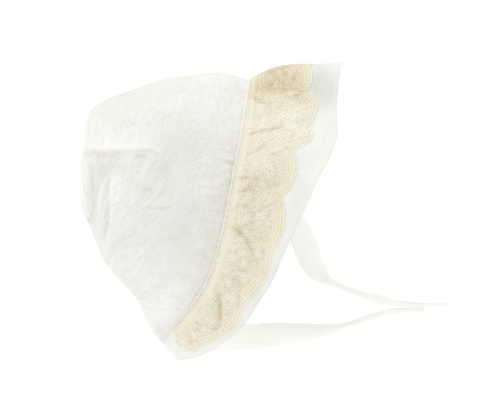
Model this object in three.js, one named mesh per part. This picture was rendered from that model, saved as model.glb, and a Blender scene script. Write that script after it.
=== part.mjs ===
// A baby's brimmed sun bonnet, lying on its side with its ribbon ties laid in
// front of it. Millimetres, +Z up. +X points out of the face opening, +Y to the
// top of the head; the side that faces up is the near side, the side that lies
// on the surface (z = 0) is the far side.
import * as THREE from 'three';

// ---------------------------------------------------------------- sizes, mm
const CLOTH = 1.2;          // wall of the crown and of the brim
const LACE_WALL = 0.8;      // wall of the lace strip
const LACE_GAP = 0.3;       // clear gap between lace and brim
const PIPING_D = 2.4;       // covered cord in the seam
const PIPING_GAP = 0.4;     // clear gap on each side of the cord
const PIPING_PROUD = 0.4;   // how far the cord's middle stands out of the wall's middle
const TIE_CLEAR = 0.25;     // lowest edge of a ribbon above the surface
const RIDGE_Z = 45;         // height of the middle line of the bonnet above the surface
const FLOOR_BRIM = 1.6;     // height of the far half of the brim, so the lace fits under it
const NEAR_SQUARE = 2.15;   // superellipse exponent of the rounding on the near side
const FAR_SQUARE = 2.5;     // the same on the far side, pressed flatter
const TURN = 0.42;          // share of a half section that turns over the ridge
const FAR_SLIP = 0.82;      // far half: how much of the near outline it reaches
const FAR_TUCK = 4;         // far half: how far its front edge lies inside the near one

const HALF_STEPS = 34;      // steps from ridge to hem on each half
const CROWN_STEPS = 16;     // steps from the seam to the nape
const LACE_STEPS = 3;
const TIE_STEPS = 44;

// ------------------------------------------------------------------- tables
const table = (columns, rows) => {
  const names = columns.split(' ');
  return rows.map((row) => Object.fromEntries(names.map((name, i) => [name, row[i]])));
};

// middle line of the crown: brim seam, over the top, down the back to the nape
const RIDGE = table('x y', [
  [24.0, 80.9], [13.5, 83.6], [3.7, 84.9], [-12.3, 83.3], [-25.8, 81.8],
  [-37.5, 78.4], [-47.4, 74.7], [-59.0, 70.7], [-67.0, 66.8], [-73.6, 61.5],
  [-76.0, 54.5], [-77.6, 44.5], [-79.4, 33.0], [-79.4, 22.5], [-80.2, 11.0],
  [-79.3, 3.0],
]);

// neck edge of the near half: corner of the seam, along the neck to the nape
const NECK = table('x y', [
  [-30.1, -80.3], [-35.7, -72.3], [-39.6, -64.5], [-43.4, -55.7], [-49.8, -47.0],
  [-57.6, -38.8], [-63.3, -31.4], [-67.7, -23.6], [-71.6, -14.0], [-75.8, -4.5],
]);

// crown sections from the seam (0) to the nape (1): how far the near and the far
// wall stand from the ridge's height, at their fullest and at the neck edge, and
// how far from the ridge the rounding reaches
const SECTIONS = table('s near nearHem far farHem round', [
  [0.00, 42, -17, 45, 45, 43],
  [0.15, 46, -8, 45, 45, 45],
  [0.30, 47, 3, 45, 45, 46],
  [0.45, 44, 12, 45, 44, 45],
  [0.60, 38, 16, 42, 38, 42],
  [0.75, 30, 17, 34, 28, 36],
  [0.90, 19, 14, 21, 18, 24],
  [1.00, 11, 11, 12, 12, 8],
]);

// forward bow of the seam, by share of the way from ridge to hem
const SEAM_BOW = table('share bow', [
  [0.00, 0], [0.06, 2.1], [0.15, 5.0], [0.24, 7.3], [0.31, 8.7], [0.40, 11.0],
  [0.47, 12.8], [0.55, 14.2], [0.63, 15.0], [0.70, 15.2], [0.75, 14.5], [0.80, 12.7],
  [0.85, 10.0], [0.90, 6.7], [0.95, 3.3], [1.00, 0],
]);

// front edge of the brim on the near half, from the top to its lower corner
const BRIM_EDGE = table('x y', [
  [80.0, 91.6], [78.1, 82.1], [76.9, 73.0], [76.8, 60.0], [76.8, 45.5],
  [74.2, 37.4], [65.2, 19.4], [58.2, 3.6], [52.7, -7.0], [47.4, -19.4],
  [42.4, -31.1], [36.8, -43.4], [29.5, -55.0], [20.9, -68.0], [11.5, -77.4],
  [0.0, -85.2], [-11.5, -90.0], [-19.1, -91.6],
]);

// flare of the brim: rise of the front edge over the seam on the near half
const BRIM_FLARE = table('share rise', [
  [0.00, 0], [0.12, 3], [0.30, 8], [0.50, 10], [0.70, 9], [0.88, 5], [1.00, 3],
]);

// camber of the brim between seam and front edge, fullest at the top of the head
const BRIM_CAMBER = table('w bulge', [
  [0.00, 0], [0.12, 2.2], [0.28, 4.0], [0.45, 4.0], [0.65, 2.6], [0.85, 1.0], [1.00, 0],
]);
const CAMBER_FADE = table('share part', [
  [0.00, 1], [0.06, 0.9], [0.14, 0.45], [0.30, 0.15], [1.00, 0.1],
]);

// outer edge of the lace: the notches between its scallops, and how much of the
// brim's width the lace covers there; each scallop swells out between two notches
const NOTCHES = table('share width depth', [
  [-0.007, 0.665, 0.04], [0.007, 0.665, 0.045], [0.075, 0.665, 0.12], [0.18, 0.68, 0.105], [0.255, 0.605, 0.13],
  [0.405, 0.665, 0.10], [0.585, 0.845, 0.075], [0.745, 0.82, 0.12], [0.91, 0.79, 0.13], [1.04, 0.60, 0.10],
]);
const LACE_INNER = 0.045;     // start of the lace, as a share of the brim's width
const LACE_REACH = 0.965;    // the lace stops this far along each half

// main folds and dents on the near side: a line from (x0, y0) to (x1, y1), how far
// the wall moves out along it, and how wide the fold is
const CROWN_FOLDS = table('x0 y0 x1 y1 out width', [
  [-80, 39, -36, 39.5, 1.2, 5],
  [-82, 31, -32, 31.5, -3.4, 7],
  [-71, 24, -72, 2, -1.6, 5],
  [-55, 26, -53, 4, 1.8, 9],
  [-34, 3, -20, 2.5, -1.2, 5],
]);
const BRIM_FOLDS = table('x0 y0 x1 y1 out width', [
  [26, 76, 82, 78, -4.0, 10],
  [26, 62, 76, 60, 1.6, 8],
  [23, 47.5, 47, 52, -2.2, 4.5],
  [12, -8.5, 30, -31, -2.4, 5],
  [4, -48, 7, -68, -2.8, 4.5],
]);

// routes of the ties: place, height of the middle where it hangs, height of what it
// lies on, roll about its length (0 lies flat, 90 stands on its edge), and how wide and
// how tall the ribbon is there: flat at first, then curled up along its length
const TIE_NEAR = table('x y hang under roll wide tall', [
  [-16.0, -80.6, 34.8, 0, -16, 15, 1.0], [-8.0, -79.6, 33.0, 0, -12, 15, 1.0],
  [0.0, -79.0, 28.0, 0, -8, 15, 1.0], [8.0, -78.7, 20.0, 0, -4, 15, 1.0],
  [15.0, -78.4, 11.5, 0, -1, 15, 1.0], [23.0, -78.0, 4.5, 0, 2, 15, 1.0],
  [34.0, -77.3, 0, 0, 2, 14.6, 1.2], [49.0, -76.2, 0, 0, 1, 13.0, 2.6],
  [64.5, -74.9, 0, 0, 0, 9.6, 4.2], [76.8, -73.1, 0, 0, 0, 6.2, 4.4],
  [87.5, -70.2, 0, 0, 0, 3.8, 3.6], [99.5, -66.0, 0, 0, 0, 4.4, 4.0],
  [112.0, -62.7, 0, 0, 0, 4.0, 3.6], [122.0, -61.6, 0, 0, 0, 3.0, 2.8],
  [133.0, -61.3, 0, 0, 0, 2.6, 2.4],
]);
const TIE_FAR = table('x y hang under roll wide tall', [
  [17.0, -56.0, 0, 3.1, 4, 15, 1.0], [14.5, -42.0, 0, 3.1, 12, 15, 1.0],
  [14.2, -26.0, 0, 3.1, 44, 15, 1.0], [19.0, -9.5, 0, 3.1, 72, 15, 1.0],
  [30.0, 1.0, 0, 3.1, 78, 15, 1.0], [43.5, 0.6, 0, 3.1, 66, 15, 1.0],
  [53.0, -8.2, 0, 3.0, 36, 15, 1.0], [58.5, -20.5, 0, 2.6, 12, 14.6, 1.2],
  [63.5, -32.3, 0, 2.0, 4, 13.4, 2.0], [70.5, -40.8, 0, 0.5, 0, 9.0, 3.0],
  [79.0, -45.8, 0, 0, 0, 4.0, 3.8], [92.0, -50.9, 0, 0, 0, 4.4, 4.0],
  [107.0, -55.2, 0, 0, 0, 5.0, 4.4], [121.0, -57.6, 0, 0, 0, 3.0, 2.8],
  [134.0, -58.1, 0, 0, 0, 2.6, 2.4], [146.8, -58.0, 0, 0, 0, 2.4, 2.2],
]);

// ---------------------------------------------------------------- smooth rows
// smooth value of a column between the rows of a table
function between(rows, key, column, at) {
  const last = rows.length - 1;
  if (at <= rows[0][key]) return rows[0][column];
  if (at >= rows[last][key]) return rows[last][column];
  let i = 0;
  while (at > rows[i + 1][key]) i += 1;
  const slope = (a, b) => (rows[b][column] - rows[a][column]) / (rows[b][key] - rows[a][key]);
  const tangent = (k) => {
    if (k === 0) return slope(0, 1);
    if (k === last) return slope(last - 1, last);
    const before = rows[k][key] - rows[k - 1][key];
    const after = rows[k + 1][key] - rows[k][key];
    return (slope(k - 1, k) * after + slope(k, k + 1) * before) / (before + after);
  };
  const span = rows[i + 1][key] - rows[i][key];
  const u = (at - rows[i][key]) / span;
  const [u2, u3] = [u * u, u * u * u];
  return (2 * u3 - 3 * u2 + 1) * rows[i][column] + (u3 - 2 * u2 + u) * span * tangent(i)
    + (3 * u2 - 2 * u3) * rows[i + 1][column] + (u3 - u2) * span * tangent(i + 1);
}

// a table of x, y (and more) as a curve over 0..1, spaced by chord length
function route(rows) {
  const stops = rows.map((row) => ({ ...row, at: 0 }));
  for (let i = 1; i < stops.length; i += 1) {
    stops[i].at = stops[i - 1].at + Math.hypot(stops[i].x - stops[i - 1].x, stops[i].y - stops[i - 1].y);
  }
  const length = stops[stops.length - 1].at;
  for (const stop of stops) stop.at /= length;
  return (t, column) => between(stops, 'at', column, t);
}
const ridge = route(RIDGE);
const neck = route(NECK);
const brimEdge = route(BRIM_EDGE);

// ------------------------------------------------------------------ surfaces
// where along a half section a step m (0 ridge .. 1 hem) lies, and its rise
function halfSection(m, reach, full, hem, square) {
  const power = 2 / square;
  if (m < TURN) {
    const turn = (m / TURN) * Math.PI / 2;
    return { share: reach * (1 - Math.cos(turn) ** power), rise: full * Math.sin(turn) ** power };
  }
  const u = (m - TURN) / (1 - TURN);
  return { share: reach + (1 - reach) * u, rise: hem + (full - hem) * (1 - u * u) };
}

const seamChord = { x: neck(0, 'x') - ridge(0, 'x'), y: neck(0, 'y') - ridge(0, 'y') };
const seamLength = Math.hypot(seamChord.x, seamChord.y);

// plan position on the near seam line
function seamPlan(share) {
  const bow = between(SEAM_BOW, 'share', 'bow', share);
  return {
    x: ridge(0, 'x') + seamChord.x * share - (seamChord.y / seamLength) * bow,
    y: ridge(0, 'y') + seamChord.y * share + (seamChord.x / seamLength) * bow,
  };
}

// crown: s from the seam (0) to the nape (1), v from the far hem (-1) over the
// ridge (0) to the near hem (1)
function crownPoint(s, v) {
  const near = v >= 0;
  const row = (column) => between(SECTIONS, 's', column, s);
  const top = { x: ridge(s, 'x'), y: ridge(s, 'y') };
  const hem = { x: neck(s, 'x'), y: neck(s, 'y') };
  const fade = (1 - s) ** 1.5;
  if (!near) {
    const slipped = seamPlan(FAR_SLIP);
    hem.x += (slipped.x - neck(0, 'x')) * fade;
    hem.y += (slipped.y - neck(0, 'y')) * fade;
  }
  const chord = { x: hem.x - top.x, y: hem.y - top.y };
  const length = Math.hypot(chord.x, chord.y);
  const reach = Math.min(row('round') / length, 0.75);
  const { share, rise } = near
    ? halfSection(v, reach, row('near'), row('nearHem'), NEAR_SQUARE)
    : halfSection(-v, reach, row('far'), row('farHem'), FAR_SQUARE);
  const bow = (near ? 1 : 0.6) * between(SEAM_BOW, 'share', 'bow', share) * fade;
  return new THREE.Vector3(
    top.x + chord.x * share - (chord.y / length) * bow,
    top.y + chord.y * share + (chord.x / length) * bow,
    Math.max(RIDGE_Z + (near ? rise : -rise), 0),
  );
}

// share of the way from ridge to hem that a step of the seam has reached
function seamShare(v) {
  const near = v >= 0;
  const hem = near ? seamPlan(1) : seamPlan(FAR_SLIP);
  const length = Math.hypot(hem.x - ridge(0, 'x'), hem.y - ridge(0, 'y'));
  const reach = Math.min(SECTIONS[0].round / length, 0.75);
  return halfSection(Math.abs(v), reach, 1, 1, near ? NEAR_SQUARE : FAR_SQUARE).share;
}

// front edge of the brim
function brimEdgePoint(v) {
  const near = v >= 0;
  const share = seamShare(v);
  const seam = crownPoint(0, v);
  const t = near ? share : share * FAR_SLIP;
  const point = new THREE.Vector3(brimEdge(t, 'x'), brimEdge(t, 'y'), seam.z);
  if (near) {
    point.z += between(BRIM_FLARE, 'share', 'rise', share);
  } else {
    point.x -= FAR_TUCK * Math.min(1, share / 0.25);
    point.z = Math.max(point.z - between(BRIM_FLARE, 'share', 'rise', share), FLOOR_BRIM);
  }
  return point;
}

// brim: w from the seam (0) to the front edge (1)
function brimPoint(w, v) {
  const seam = crownPoint(0, v);
  const edge = brimEdgePoint(v);
  const point = seam.clone().lerp(edge, w);
  if (v < 0) point.z = Math.max(point.z, FLOOR_BRIM);
  return point;
}

// how far folds move the wall out at a place of the near side
function foldOut(folds, x, y) {
  let out = 0;
  for (const fold of folds) {
    const along = { x: fold.x1 - fold.x0, y: fold.y1 - fold.y0 };
    const length = Math.hypot(along.x, along.y);
    const t = ((x - fold.x0) * along.x + (y - fold.y0) * along.y) / (length * length);
    const end = Math.max(0, -t, t - 1) * length;
    const off = ((x - fold.x0) * along.y - (y - fold.y0) * along.x) / length;
    out += fold.out * Math.exp(-(off * off + end * end) / (fold.width * fold.width));
  }
  return out;
}

// ------------------------------------------------------------------- solids
// outward direction at each place of a grid of points
function outward(grid) {
  const last = grid.length - 1;
  const end = grid[0].length - 1;
  return grid.map((row, i) => row.map((_, j) => {
    const along = grid[Math.min(i + 1, last)][j].clone().sub(grid[Math.max(i - 1, 0)][j]);
    const across = grid[i][Math.min(j + 1, end)].clone().sub(grid[i][Math.max(j - 1, 0)]);
    return along.cross(across).normalize();
  }));
}

// move each point of a grid along a direction grid
function moved(grid, directions, distance) {
  return grid.map((row, i) => row.map((point, j) => point.clone()
    .addScaledVector(directions[i][j], typeof distance === 'function' ? distance(point, i, j) : distance)));
}

// closed wall between an outer and an inner grid of points
function wall(outer, inner) {
  const [rows, columns] = [outer.length, outer[0].length];
  const positions = [];
  for (const grid of [outer, inner]) for (const row of grid) for (const p of row) positions.push(p.x, p.y, p.z);
  const o = (i, j) => i * columns + j;
  const n = (i, j) => rows * columns + i * columns + j;
  const index = [];
  const quad = (a, b, c, d) => index.push(a, b, c, a, c, d);
  for (let i = 0; i + 1 < rows; i += 1) {
    for (let j = 0; j + 1 < columns; j += 1) {
      quad(o(i, j), o(i + 1, j), o(i + 1, j + 1), o(i, j + 1));
      quad(n(i, j), n(i, j + 1), n(i + 1, j + 1), n(i + 1, j));
    }
    quad(o(i + 1, 0), o(i, 0), n(i, 0), n(i + 1, 0));
    quad(o(i, columns - 1), o(i + 1, columns - 1), n(i + 1, columns - 1), n(i, columns - 1));
  }
  for (let j = 0; j + 1 < columns; j += 1) {
    quad(o(rows - 1, j + 1), o(rows - 1, j), n(rows - 1, j), n(rows - 1, j + 1));
    quad(o(0, j), o(0, j + 1), n(0, j + 1), n(0, j));
  }
  const geometry = new THREE.BufferGeometry();
  geometry.setAttribute('position', new THREE.Float32BufferAttribute(positions, 3));
  geometry.setIndex(index);
  geometry.computeVertexNormals();
  return geometry;
}

const steps = (count, from, to) => Array.from({ length: count + 1 }, (_, i) => from + ((to - from) * i) / count);
const acrossSteps = steps(2 * HALF_STEPS, -1, 1);
const seamRoom = PIPING_D / 2 + PIPING_GAP;

// crown wall, its first row moved back from the seam to make room for the cord
const crownGrid = steps(CROWN_STEPS, 0, 1).map((s) => acrossSteps.map((v) => crownPoint(s, v)));
crownGrid[0] = crownGrid[0].map((point, j) => {
  const back = crownGrid[1][j].clone().sub(point);
  return point.clone().addScaledVector(back.normalize(), seamRoom);
});
const nearShare = (j) => THREE.MathUtils.smoothstep(acrossSteps[j], 0.02, 0.2);
const crownOuter = moved(crownGrid, outward(crownGrid), (p, i, j) => (nearShare(j) > 0 ? nearShare(j) * foldOut(CROWN_FOLDS, p.x, p.y) : 0));
const crownInner = moved(crownOuter, outward(crownOuter), -CLOTH);

// lace strip: share of the brim's width at its scalloped outer edge
function laceWidth(v) {
  const share = seamShare(v);
  const next = NOTCHES.findIndex((notch) => notch.share > share);
  const root = (value) => Math.sign(value) * Math.sqrt(Math.abs(value));  // about even along the curve of the head
  const [from, to] = [root(NOTCHES[next - 1].share), root(NOTCHES[next].share)];
  const swell = Math.max(Math.sin((Math.PI * (root(share) - from)) / (to - from)), 0) ** 0.8;
  return between(NOTCHES, 'share', 'width', share) + NOTCHES[next - 1].depth * swell;
}

// brim wall, from its front edge back to the cord, with rows under the lace's own rows
function brimRows(v) {
  const outer = laceWidth(v);
  const laceRows = steps(LACE_STEPS, outer, LACE_INNER);
  const back = seamRoom / crownPoint(0, v).distanceTo(brimEdgePoint(v));
  return [1, (1 + outer) / 2, ...laceRows.map((w) => Math.max(w, back + 0.01)), back];
}
const brimColumns = acrossSteps.map(brimRows);
const brimGrid = brimColumns[0].map((_, i) => acrossSteps.map((v, j) => brimPoint(brimColumns[j][i], v)));
const brimFold = (p, i, j) => {
  const v = acrossSteps[j];
  const camber = between(BRIM_CAMBER, 'w', 'bulge', brimColumns[j][i])
    * between(CAMBER_FADE, 'share', 'part', seamShare(v));
  return camber + (nearShare(j) > 0 ? nearShare(j) * foldOut(BRIM_FOLDS, p.x, p.y) : 0);
};
const brimOuter = moved(brimGrid, outward(brimGrid), brimFold);
for (const row of brimOuter) for (const point of row) point.z = Math.max(point.z, FLOOR_BRIM);
const brimOut = outward(brimOuter);
const brimInner = moved(brimOuter, brimOut, -CLOTH);

// lace wall, lying on the outer side of the brim
const underLace = (grid) => grid.slice(2, 3 + LACE_STEPS)
  .map((row) => row.filter((_, j) => seamShare(acrossSteps[j]) <= LACE_REACH));
const laceInner = moved(underLace(brimOuter), underLace(brimOut), LACE_GAP);
const laceOuter = moved(underLace(brimOuter), underLace(brimOut), LACE_GAP + LACE_WALL);

// covered cord along the seam
const seamLine = acrossSteps.map((v, j) => {
  const middle = crownOuter[0][j].clone().add(brimOuter[brimOuter.length - 1][j]).multiplyScalar(0.5);
  const inside = crownInner[0][j].clone().add(brimInner[brimInner.length - 1][j]).multiplyScalar(0.5);
  const out = middle.clone().sub(inside).normalize();
  const point = middle.addScaledVector(out, -CLOTH / 2 + PIPING_PROUD);
  point.z = Math.max(point.z, PIPING_D / 2 + 0.15);
  return point;
});
const cordSection = new THREE.Shape(steps(7, 0, 7).map((k) => new THREE.Vector2(
  Math.cos((k * Math.PI) / 4) * PIPING_D / 2, Math.sin((k * Math.PI) / 4) * PIPING_D / 2)));
const pipingGeometry = new THREE.ExtrudeGeometry(cordSection, {
  steps: 2 * HALF_STEPS, bevelEnabled: false, curveSegments: 1,
  extrudePath: new THREE.CatmullRomCurve3(seamLine),
});

// ribbon: its section carried along its route and rolled by the table's angle
function ribbon(rows) {
  const along = route(rows);
  const height = (t) => {
    const roll = THREE.MathUtils.degToRad(along(t, 'roll'));
    const low = (along(t, 'wide') / 2) * Math.abs(Math.sin(roll)) + (along(t, 'tall') / 2) * Math.abs(Math.cos(roll)) + TIE_CLEAR;
    return Math.max(along(t, 'hang'), low + Math.max(along(t, 'under'), 0));
  };
  const place = (t) => new THREE.Vector3(along(t, 'x'), along(t, 'y'), height(t));
  const rings = steps(TIE_STEPS, 0, 1).map((t) => {
    const run = place(Math.min(t + 0.004, 1)).sub(place(Math.max(t - 0.004, 0))).normalize();
    const flat = new THREE.Vector3(run.y, -run.x, 0).normalize();
    const up = new THREE.Vector3().crossVectors(flat, run);
    const roll = THREE.MathUtils.degToRad(along(t, 'roll'));
    const side = flat.clone().multiplyScalar(Math.cos(roll)).addScaledVector(up, Math.sin(roll));
    const face = up.clone().multiplyScalar(Math.cos(roll)).addScaledVector(flat, -Math.sin(roll));
    const corner = (a, b) => place(t).addScaledVector(side, (a * along(t, 'wide')) / 2)
      .addScaledVector(face, (b * along(t, 'tall')) / 2);
    return [corner(1, 1), corner(-1, 1), corner(-1, -1), corner(1, -1)];
  });
  const positions = rings.flat().flatMap((p) => [p.x, p.y, p.z]);
  const index = [];
  for (let i = 0; i + 1 < rings.length; i += 1) {
    for (let k = 0; k < 4; k += 1) {
      const [a, b] = [i * 4 + k, i * 4 + ((k + 1) % 4)];
      index.push(a, b + 4, b, a, a + 4, b + 4);
    }
  }
  const end = (rings.length - 1) * 4;
  index.push(0, 1, 2, 0, 2, 3, end, end + 2, end + 1, end, end + 3, end + 2);
  const geometry = new THREE.BufferGeometry();
  geometry.setAttribute('position', new THREE.Float32BufferAttribute(positions, 3));
  geometry.setIndex(index);
  geometry.computeVertexNormals();
  return geometry;
}

// --------------------------------------------------------------------- scene
const cotton = new THREE.MeshStandardMaterial({ color: 0xf0f0ea, roughness: 0.9, metalness: 0 });
const cordCotton = new THREE.MeshStandardMaterial({ color: 0xf6f6f1, roughness: 0.85, metalness: 0 });
const lace = new THREE.MeshStandardMaterial({ color: 0xe5dfc8, roughness: 0.9, metalness: 0 });
const satin = new THREE.MeshStandardMaterial({ color: 0xf5f5ef, roughness: 0.5, metalness: 0 });

function piece(name, geometry, material) {
  const mesh = new THREE.Mesh(geometry, material);
  mesh.name = name;
  return mesh;
}

const bonnet = new THREE.Group();
bonnet.add(
  piece('crown', wall(crownOuter, crownInner), cotton),
  piece('brim', wall(brimOuter, brimInner), cotton),
  piece('lace_trim', wall(laceOuter, laceInner), lace),
  piece('piping', pipingGeometry, cordCotton),
  piece('tie_near', ribbon(TIE_NEAR), satin),
  piece('tie_far', ribbon(TIE_FAR), satin),
);

export default bonnet;
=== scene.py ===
# A baby's brimmed sun bonnet lying on its side: crinkled cotton crown, corded seam,
# flared brim with scalloped lace on it, and two ribbon ties laid in front of it.
# Lengths are millimetres until a mesh is made; the near side faces up.
import math

import bpy
import numpy as np
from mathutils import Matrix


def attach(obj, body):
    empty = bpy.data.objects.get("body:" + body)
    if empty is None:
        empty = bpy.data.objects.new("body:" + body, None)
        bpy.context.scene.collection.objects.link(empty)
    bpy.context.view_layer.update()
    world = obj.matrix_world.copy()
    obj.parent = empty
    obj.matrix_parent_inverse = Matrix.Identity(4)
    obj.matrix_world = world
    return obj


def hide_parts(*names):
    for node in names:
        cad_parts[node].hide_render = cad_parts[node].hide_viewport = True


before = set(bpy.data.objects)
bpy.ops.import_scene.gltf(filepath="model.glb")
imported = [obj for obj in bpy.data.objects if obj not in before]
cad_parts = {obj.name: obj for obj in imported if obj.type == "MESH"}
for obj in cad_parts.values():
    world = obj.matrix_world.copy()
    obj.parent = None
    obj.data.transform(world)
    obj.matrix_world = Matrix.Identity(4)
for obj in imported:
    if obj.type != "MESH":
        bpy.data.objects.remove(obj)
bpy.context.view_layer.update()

# ------------------------------------------------------------------- sizes, mm
CLOTH = 1.1
PIPING_R = 0.95             # of the whole cord
PIPING_PROUD = 0.25
PLY_R, PLY_OFF = 0.68, 0.27 # of its two plies, and their distance from its middle
RIDGE_Z = 45.0
FLOOR_BRIM = 1.6
NEAR_SQUARE, FAR_SQUARE = 2.15, 2.5
TURN = 0.42
FAR_SLIP = 0.82
FAR_TUCK = 4.0
RIBBON = 15.0
RIBBON_WALL = 0.3

PIXEL = 0.615               # mm for a pixel of the 500 x 400 picture
PIXEL_X, PIXEL_Y = 210.0, 211.5


def plan(*places):
    """places given in pixels of the picture, as mm of the part"""
    return [((u - PIXEL_X) * PIXEL, (PIXEL_Y - v) * PIXEL) for u, v in places]


# -------------------------------------------------------------------- camera
EYE = 4.0                   # metres above the ridge
view_centre = plan((250, 200))[0]
camera_data = bpy.data.cameras.new("camera")
camera_data.type = "PERSP"
camera_data.sensor_width = 36.0
camera_data.lens = 36.0 * EYE / (500 * PIXEL * 0.001)
camera_data.clip_start, camera_data.clip_end = 0.5, 50
camera = bpy.data.objects.new("camera", camera_data)
camera.location = (view_centre[0] * 0.001, view_centre[1] * 0.001, EYE + RIDGE_Z * 0.001)
bpy.context.scene.collection.objects.link(camera)
bpy.context.scene.camera = camera


# -------------------------------------------------------------------- tables
def table(columns, rows):
    return dict(zip(columns.split(), np.array(rows, float).T))


RIDGE = table("x y", [
    [24.0, 80.9], [13.5, 83.6], [3.7, 84.9], [-12.3, 83.3], [-25.8, 81.8],
    [-37.5, 78.4], [-47.4, 74.7], [-59.0, 70.7], [-67.0, 66.8], [-73.6, 61.5],
    [-76.0, 54.5], [-77.6, 44.5], [-79.4, 33.0], [-79.4, 22.5], [-80.2, 11.0],
    [-79.3, 3.0]])
NECK = table("x y", [
    [-30.1, -80.3], [-35.7, -72.3], [-39.6, -64.5], [-43.4, -55.7], [-49.8, -47.0],
    [-57.6, -38.8], [-63.3, -31.4], [-67.7, -23.6], [-71.6, -14.0], [-75.8, -4.5]])
SECTIONS = table("s near near_hem far far_hem round", [
    [0.00, 42, -17, 45, 45, 43], [0.15, 46, -8, 45, 45, 45], [0.30, 47, 3, 45, 45, 46],
    [0.45, 44, 12, 45, 44, 45], [0.60, 38, 16, 42, 38, 42], [0.75, 30, 17, 34, 28, 36],
    [0.90, 19, 14, 21, 18, 24], [1.00, 11, 11, 12, 12, 8]])
SEAM_BOW = table("share bow", [
    [0.00, 0], [0.06, 2.1], [0.15, 5.0], [0.24, 7.3], [0.31, 8.7], [0.40, 11.0],
    [0.47, 12.8], [0.55, 14.2], [0.63, 15.0], [0.70, 15.2], [0.75, 14.5], [0.80, 12.7],
    [0.85, 10.0], [0.90, 6.7], [0.95, 3.3], [1.00, 0]])
BRIM_EDGE = table("x y", [
    [80.0, 91.6], [78.1, 82.1], [76.9, 73.0], [76.8, 60.0], [76.8, 45.5],
    [74.2, 37.4], [65.2, 19.4], [58.2, 3.6], [52.7, -7.0], [47.4, -19.4],
    [42.4, -31.1], [36.8, -43.4], [29.5, -55.0], [20.9, -68.0], [11.5, -77.4],
    [0.0, -85.2], [-11.5, -90.0], [-19.1, -91.6]])
BRIM_FLARE = table("share rise", [
    [0.00, 0], [0.12, 3], [0.30, 8], [0.50, 10], [0.70, 9], [0.88, 5], [1.00, 3]])
BRIM_CAMBER = table("w bulge", [
    [0.00, 0], [0.12, 2.2], [0.28, 4.0], [0.45, 4.0], [0.65, 2.6], [0.85, 1.0], [1.00, 0]])
CAMBER_FADE = table("share part", [
    [0.00, 1], [0.06, 0.9], [0.14, 0.45], [0.30, 0.15], [1.00, 0.1]])
NOTCHES = table("share width depth", [
    [-0.007, 0.665, 0.04], [0.007, 0.665, 0.045], [0.075, 0.665, 0.12], [0.18, 0.68, 0.105], [0.255, 0.605, 0.13],
    [0.405, 0.665, 0.10], [0.585, 0.845, 0.075], [0.745, 0.82, 0.12], [0.91, 0.79, 0.13], [1.04, 0.60, 0.10]])
LACE_INNER = 1.3            # mm from the seam
LACE_REACH = 0.965

# routes of the ties: place, height of the middle where it hangs, height of what it lies
# on, roll about its length, and how many turns it is curled up along its length
TIE_NEAR = table("x y hang under roll turns", [
    [-16.0, -80.6, 34.8, 0, -16, 0.02], [-8.0, -79.6, 33.0, 0, -12, 0.02],
    [0.0, -79.0, 28.0, 0, -8, 0.02], [8.0, -78.7, 20.0, 0, -4, 0.03],
    [15.0, -78.4, 11.5, 0, -1, 0.04], [23.0, -78.0, 4.5, 0, 2, 0.06],
    [34.0, -77.3, 0, 0, 2, 0.10], [49.0, -76.2, 0, 0, 1, 0.26],
    [64.5, -74.9, 0, 0, 0, 0.50], [76.8, -73.1, 0, 0, 0, 0.80],
    [87.5, -70.2, 0, 0, 0, 1.40], [99.5, -66.0, 0, 0, 0, 1.20],
    [112.0, -62.7, 0, 0, 0, 1.35], [122.0, -61.6, 0, 0, 0, 1.9],
    [133.0, -61.3, 0, 0, 0, 2.3]])
TIE_FAR = table("x y hang under roll turns", [
    [17.0, -56.0, 0, 3.1, 4, 0.03], [14.5, -42.0, 0, 3.1, 12, 0.03],
    [14.2, -26.0, 0, 3.1, 44, 0.04], [19.0, -9.5, 0, 3.1, 72, 0.04],
    [30.0, 1.0, 0, 3.1, 78, 0.04], [43.5, 0.6, 0, 3.1, 66, 0.04],
    [53.0, -8.2, 0, 3.0, 36, 0.06], [58.5, -20.5, 0, 2.6, 12, 0.10],
    [63.5, -32.3, 0, 2.0, 4, 0.22], [70.5, -40.8, 0, 0.5, 0, 0.55],
    [79.0, -45.8, 0, 0, 0, 1.45], [92.0, -50.9, 0, 0, 0, 1.25],
    [107.0, -55.2, 0, 0, 0, 0.98], [121.0, -57.6, 0, 0, 0, 1.9],
    [134.0, -58.1, 0, 0, 0, 2.4], [146.8, -58.0, 0, 0, 0, 2.6]])

# wide soft dents and swellings of the brim's near side: from (u0, v0) to (u1, v1) in
# the picture, how far the cloth moves out, and how wide it is in mm
BRIM_SWELLS = table("u0 v0 u1 v1 out width", [
    [252, 88, 343, 85, -4.0, 10.0], [252, 111, 334, 114, 1.8, 7.0],
    [259, 80, 257, 92, -0.35, 2.2], [266, 76, 266, 93, 0.25, 2.4],
    [273, 74, 271, 93, -0.4, 2.4], [282, 72, 283, 90, 0.25, 2.6],
    [292, 70, 294, 88, -0.3, 2.8], [305, 70, 303, 84, 0.2, 2.6],
    [316, 72, 318, 96, -0.8, 4.0], [327, 68, 326, 100, 0.5, 3.0],
    [256, 122, 300, 120, 0.7, 4.0], [262, 139, 305, 136, 1.0, 4.2],
    [258, 164, 290, 160, 0.9, 5.0], [246, 202, 268, 196, 0.8, 4.5],
    [232, 246, 240, 262, 1.2, 4.0], [258, 244, 266, 258, 0.9, 3.2],
    [212, 300, 214, 324, 1.2, 3.2], [229, 296, 229, 322, 1.1, 3.0],
    [250, 278, 247, 302, 0.8, 3.2], [196, 320, 204, 336, 0.6, 3.0],
    [300, 150, 296, 196, 0.9, 6.0], [312, 128, 331, 100, -1.0, 5.0]])

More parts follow.
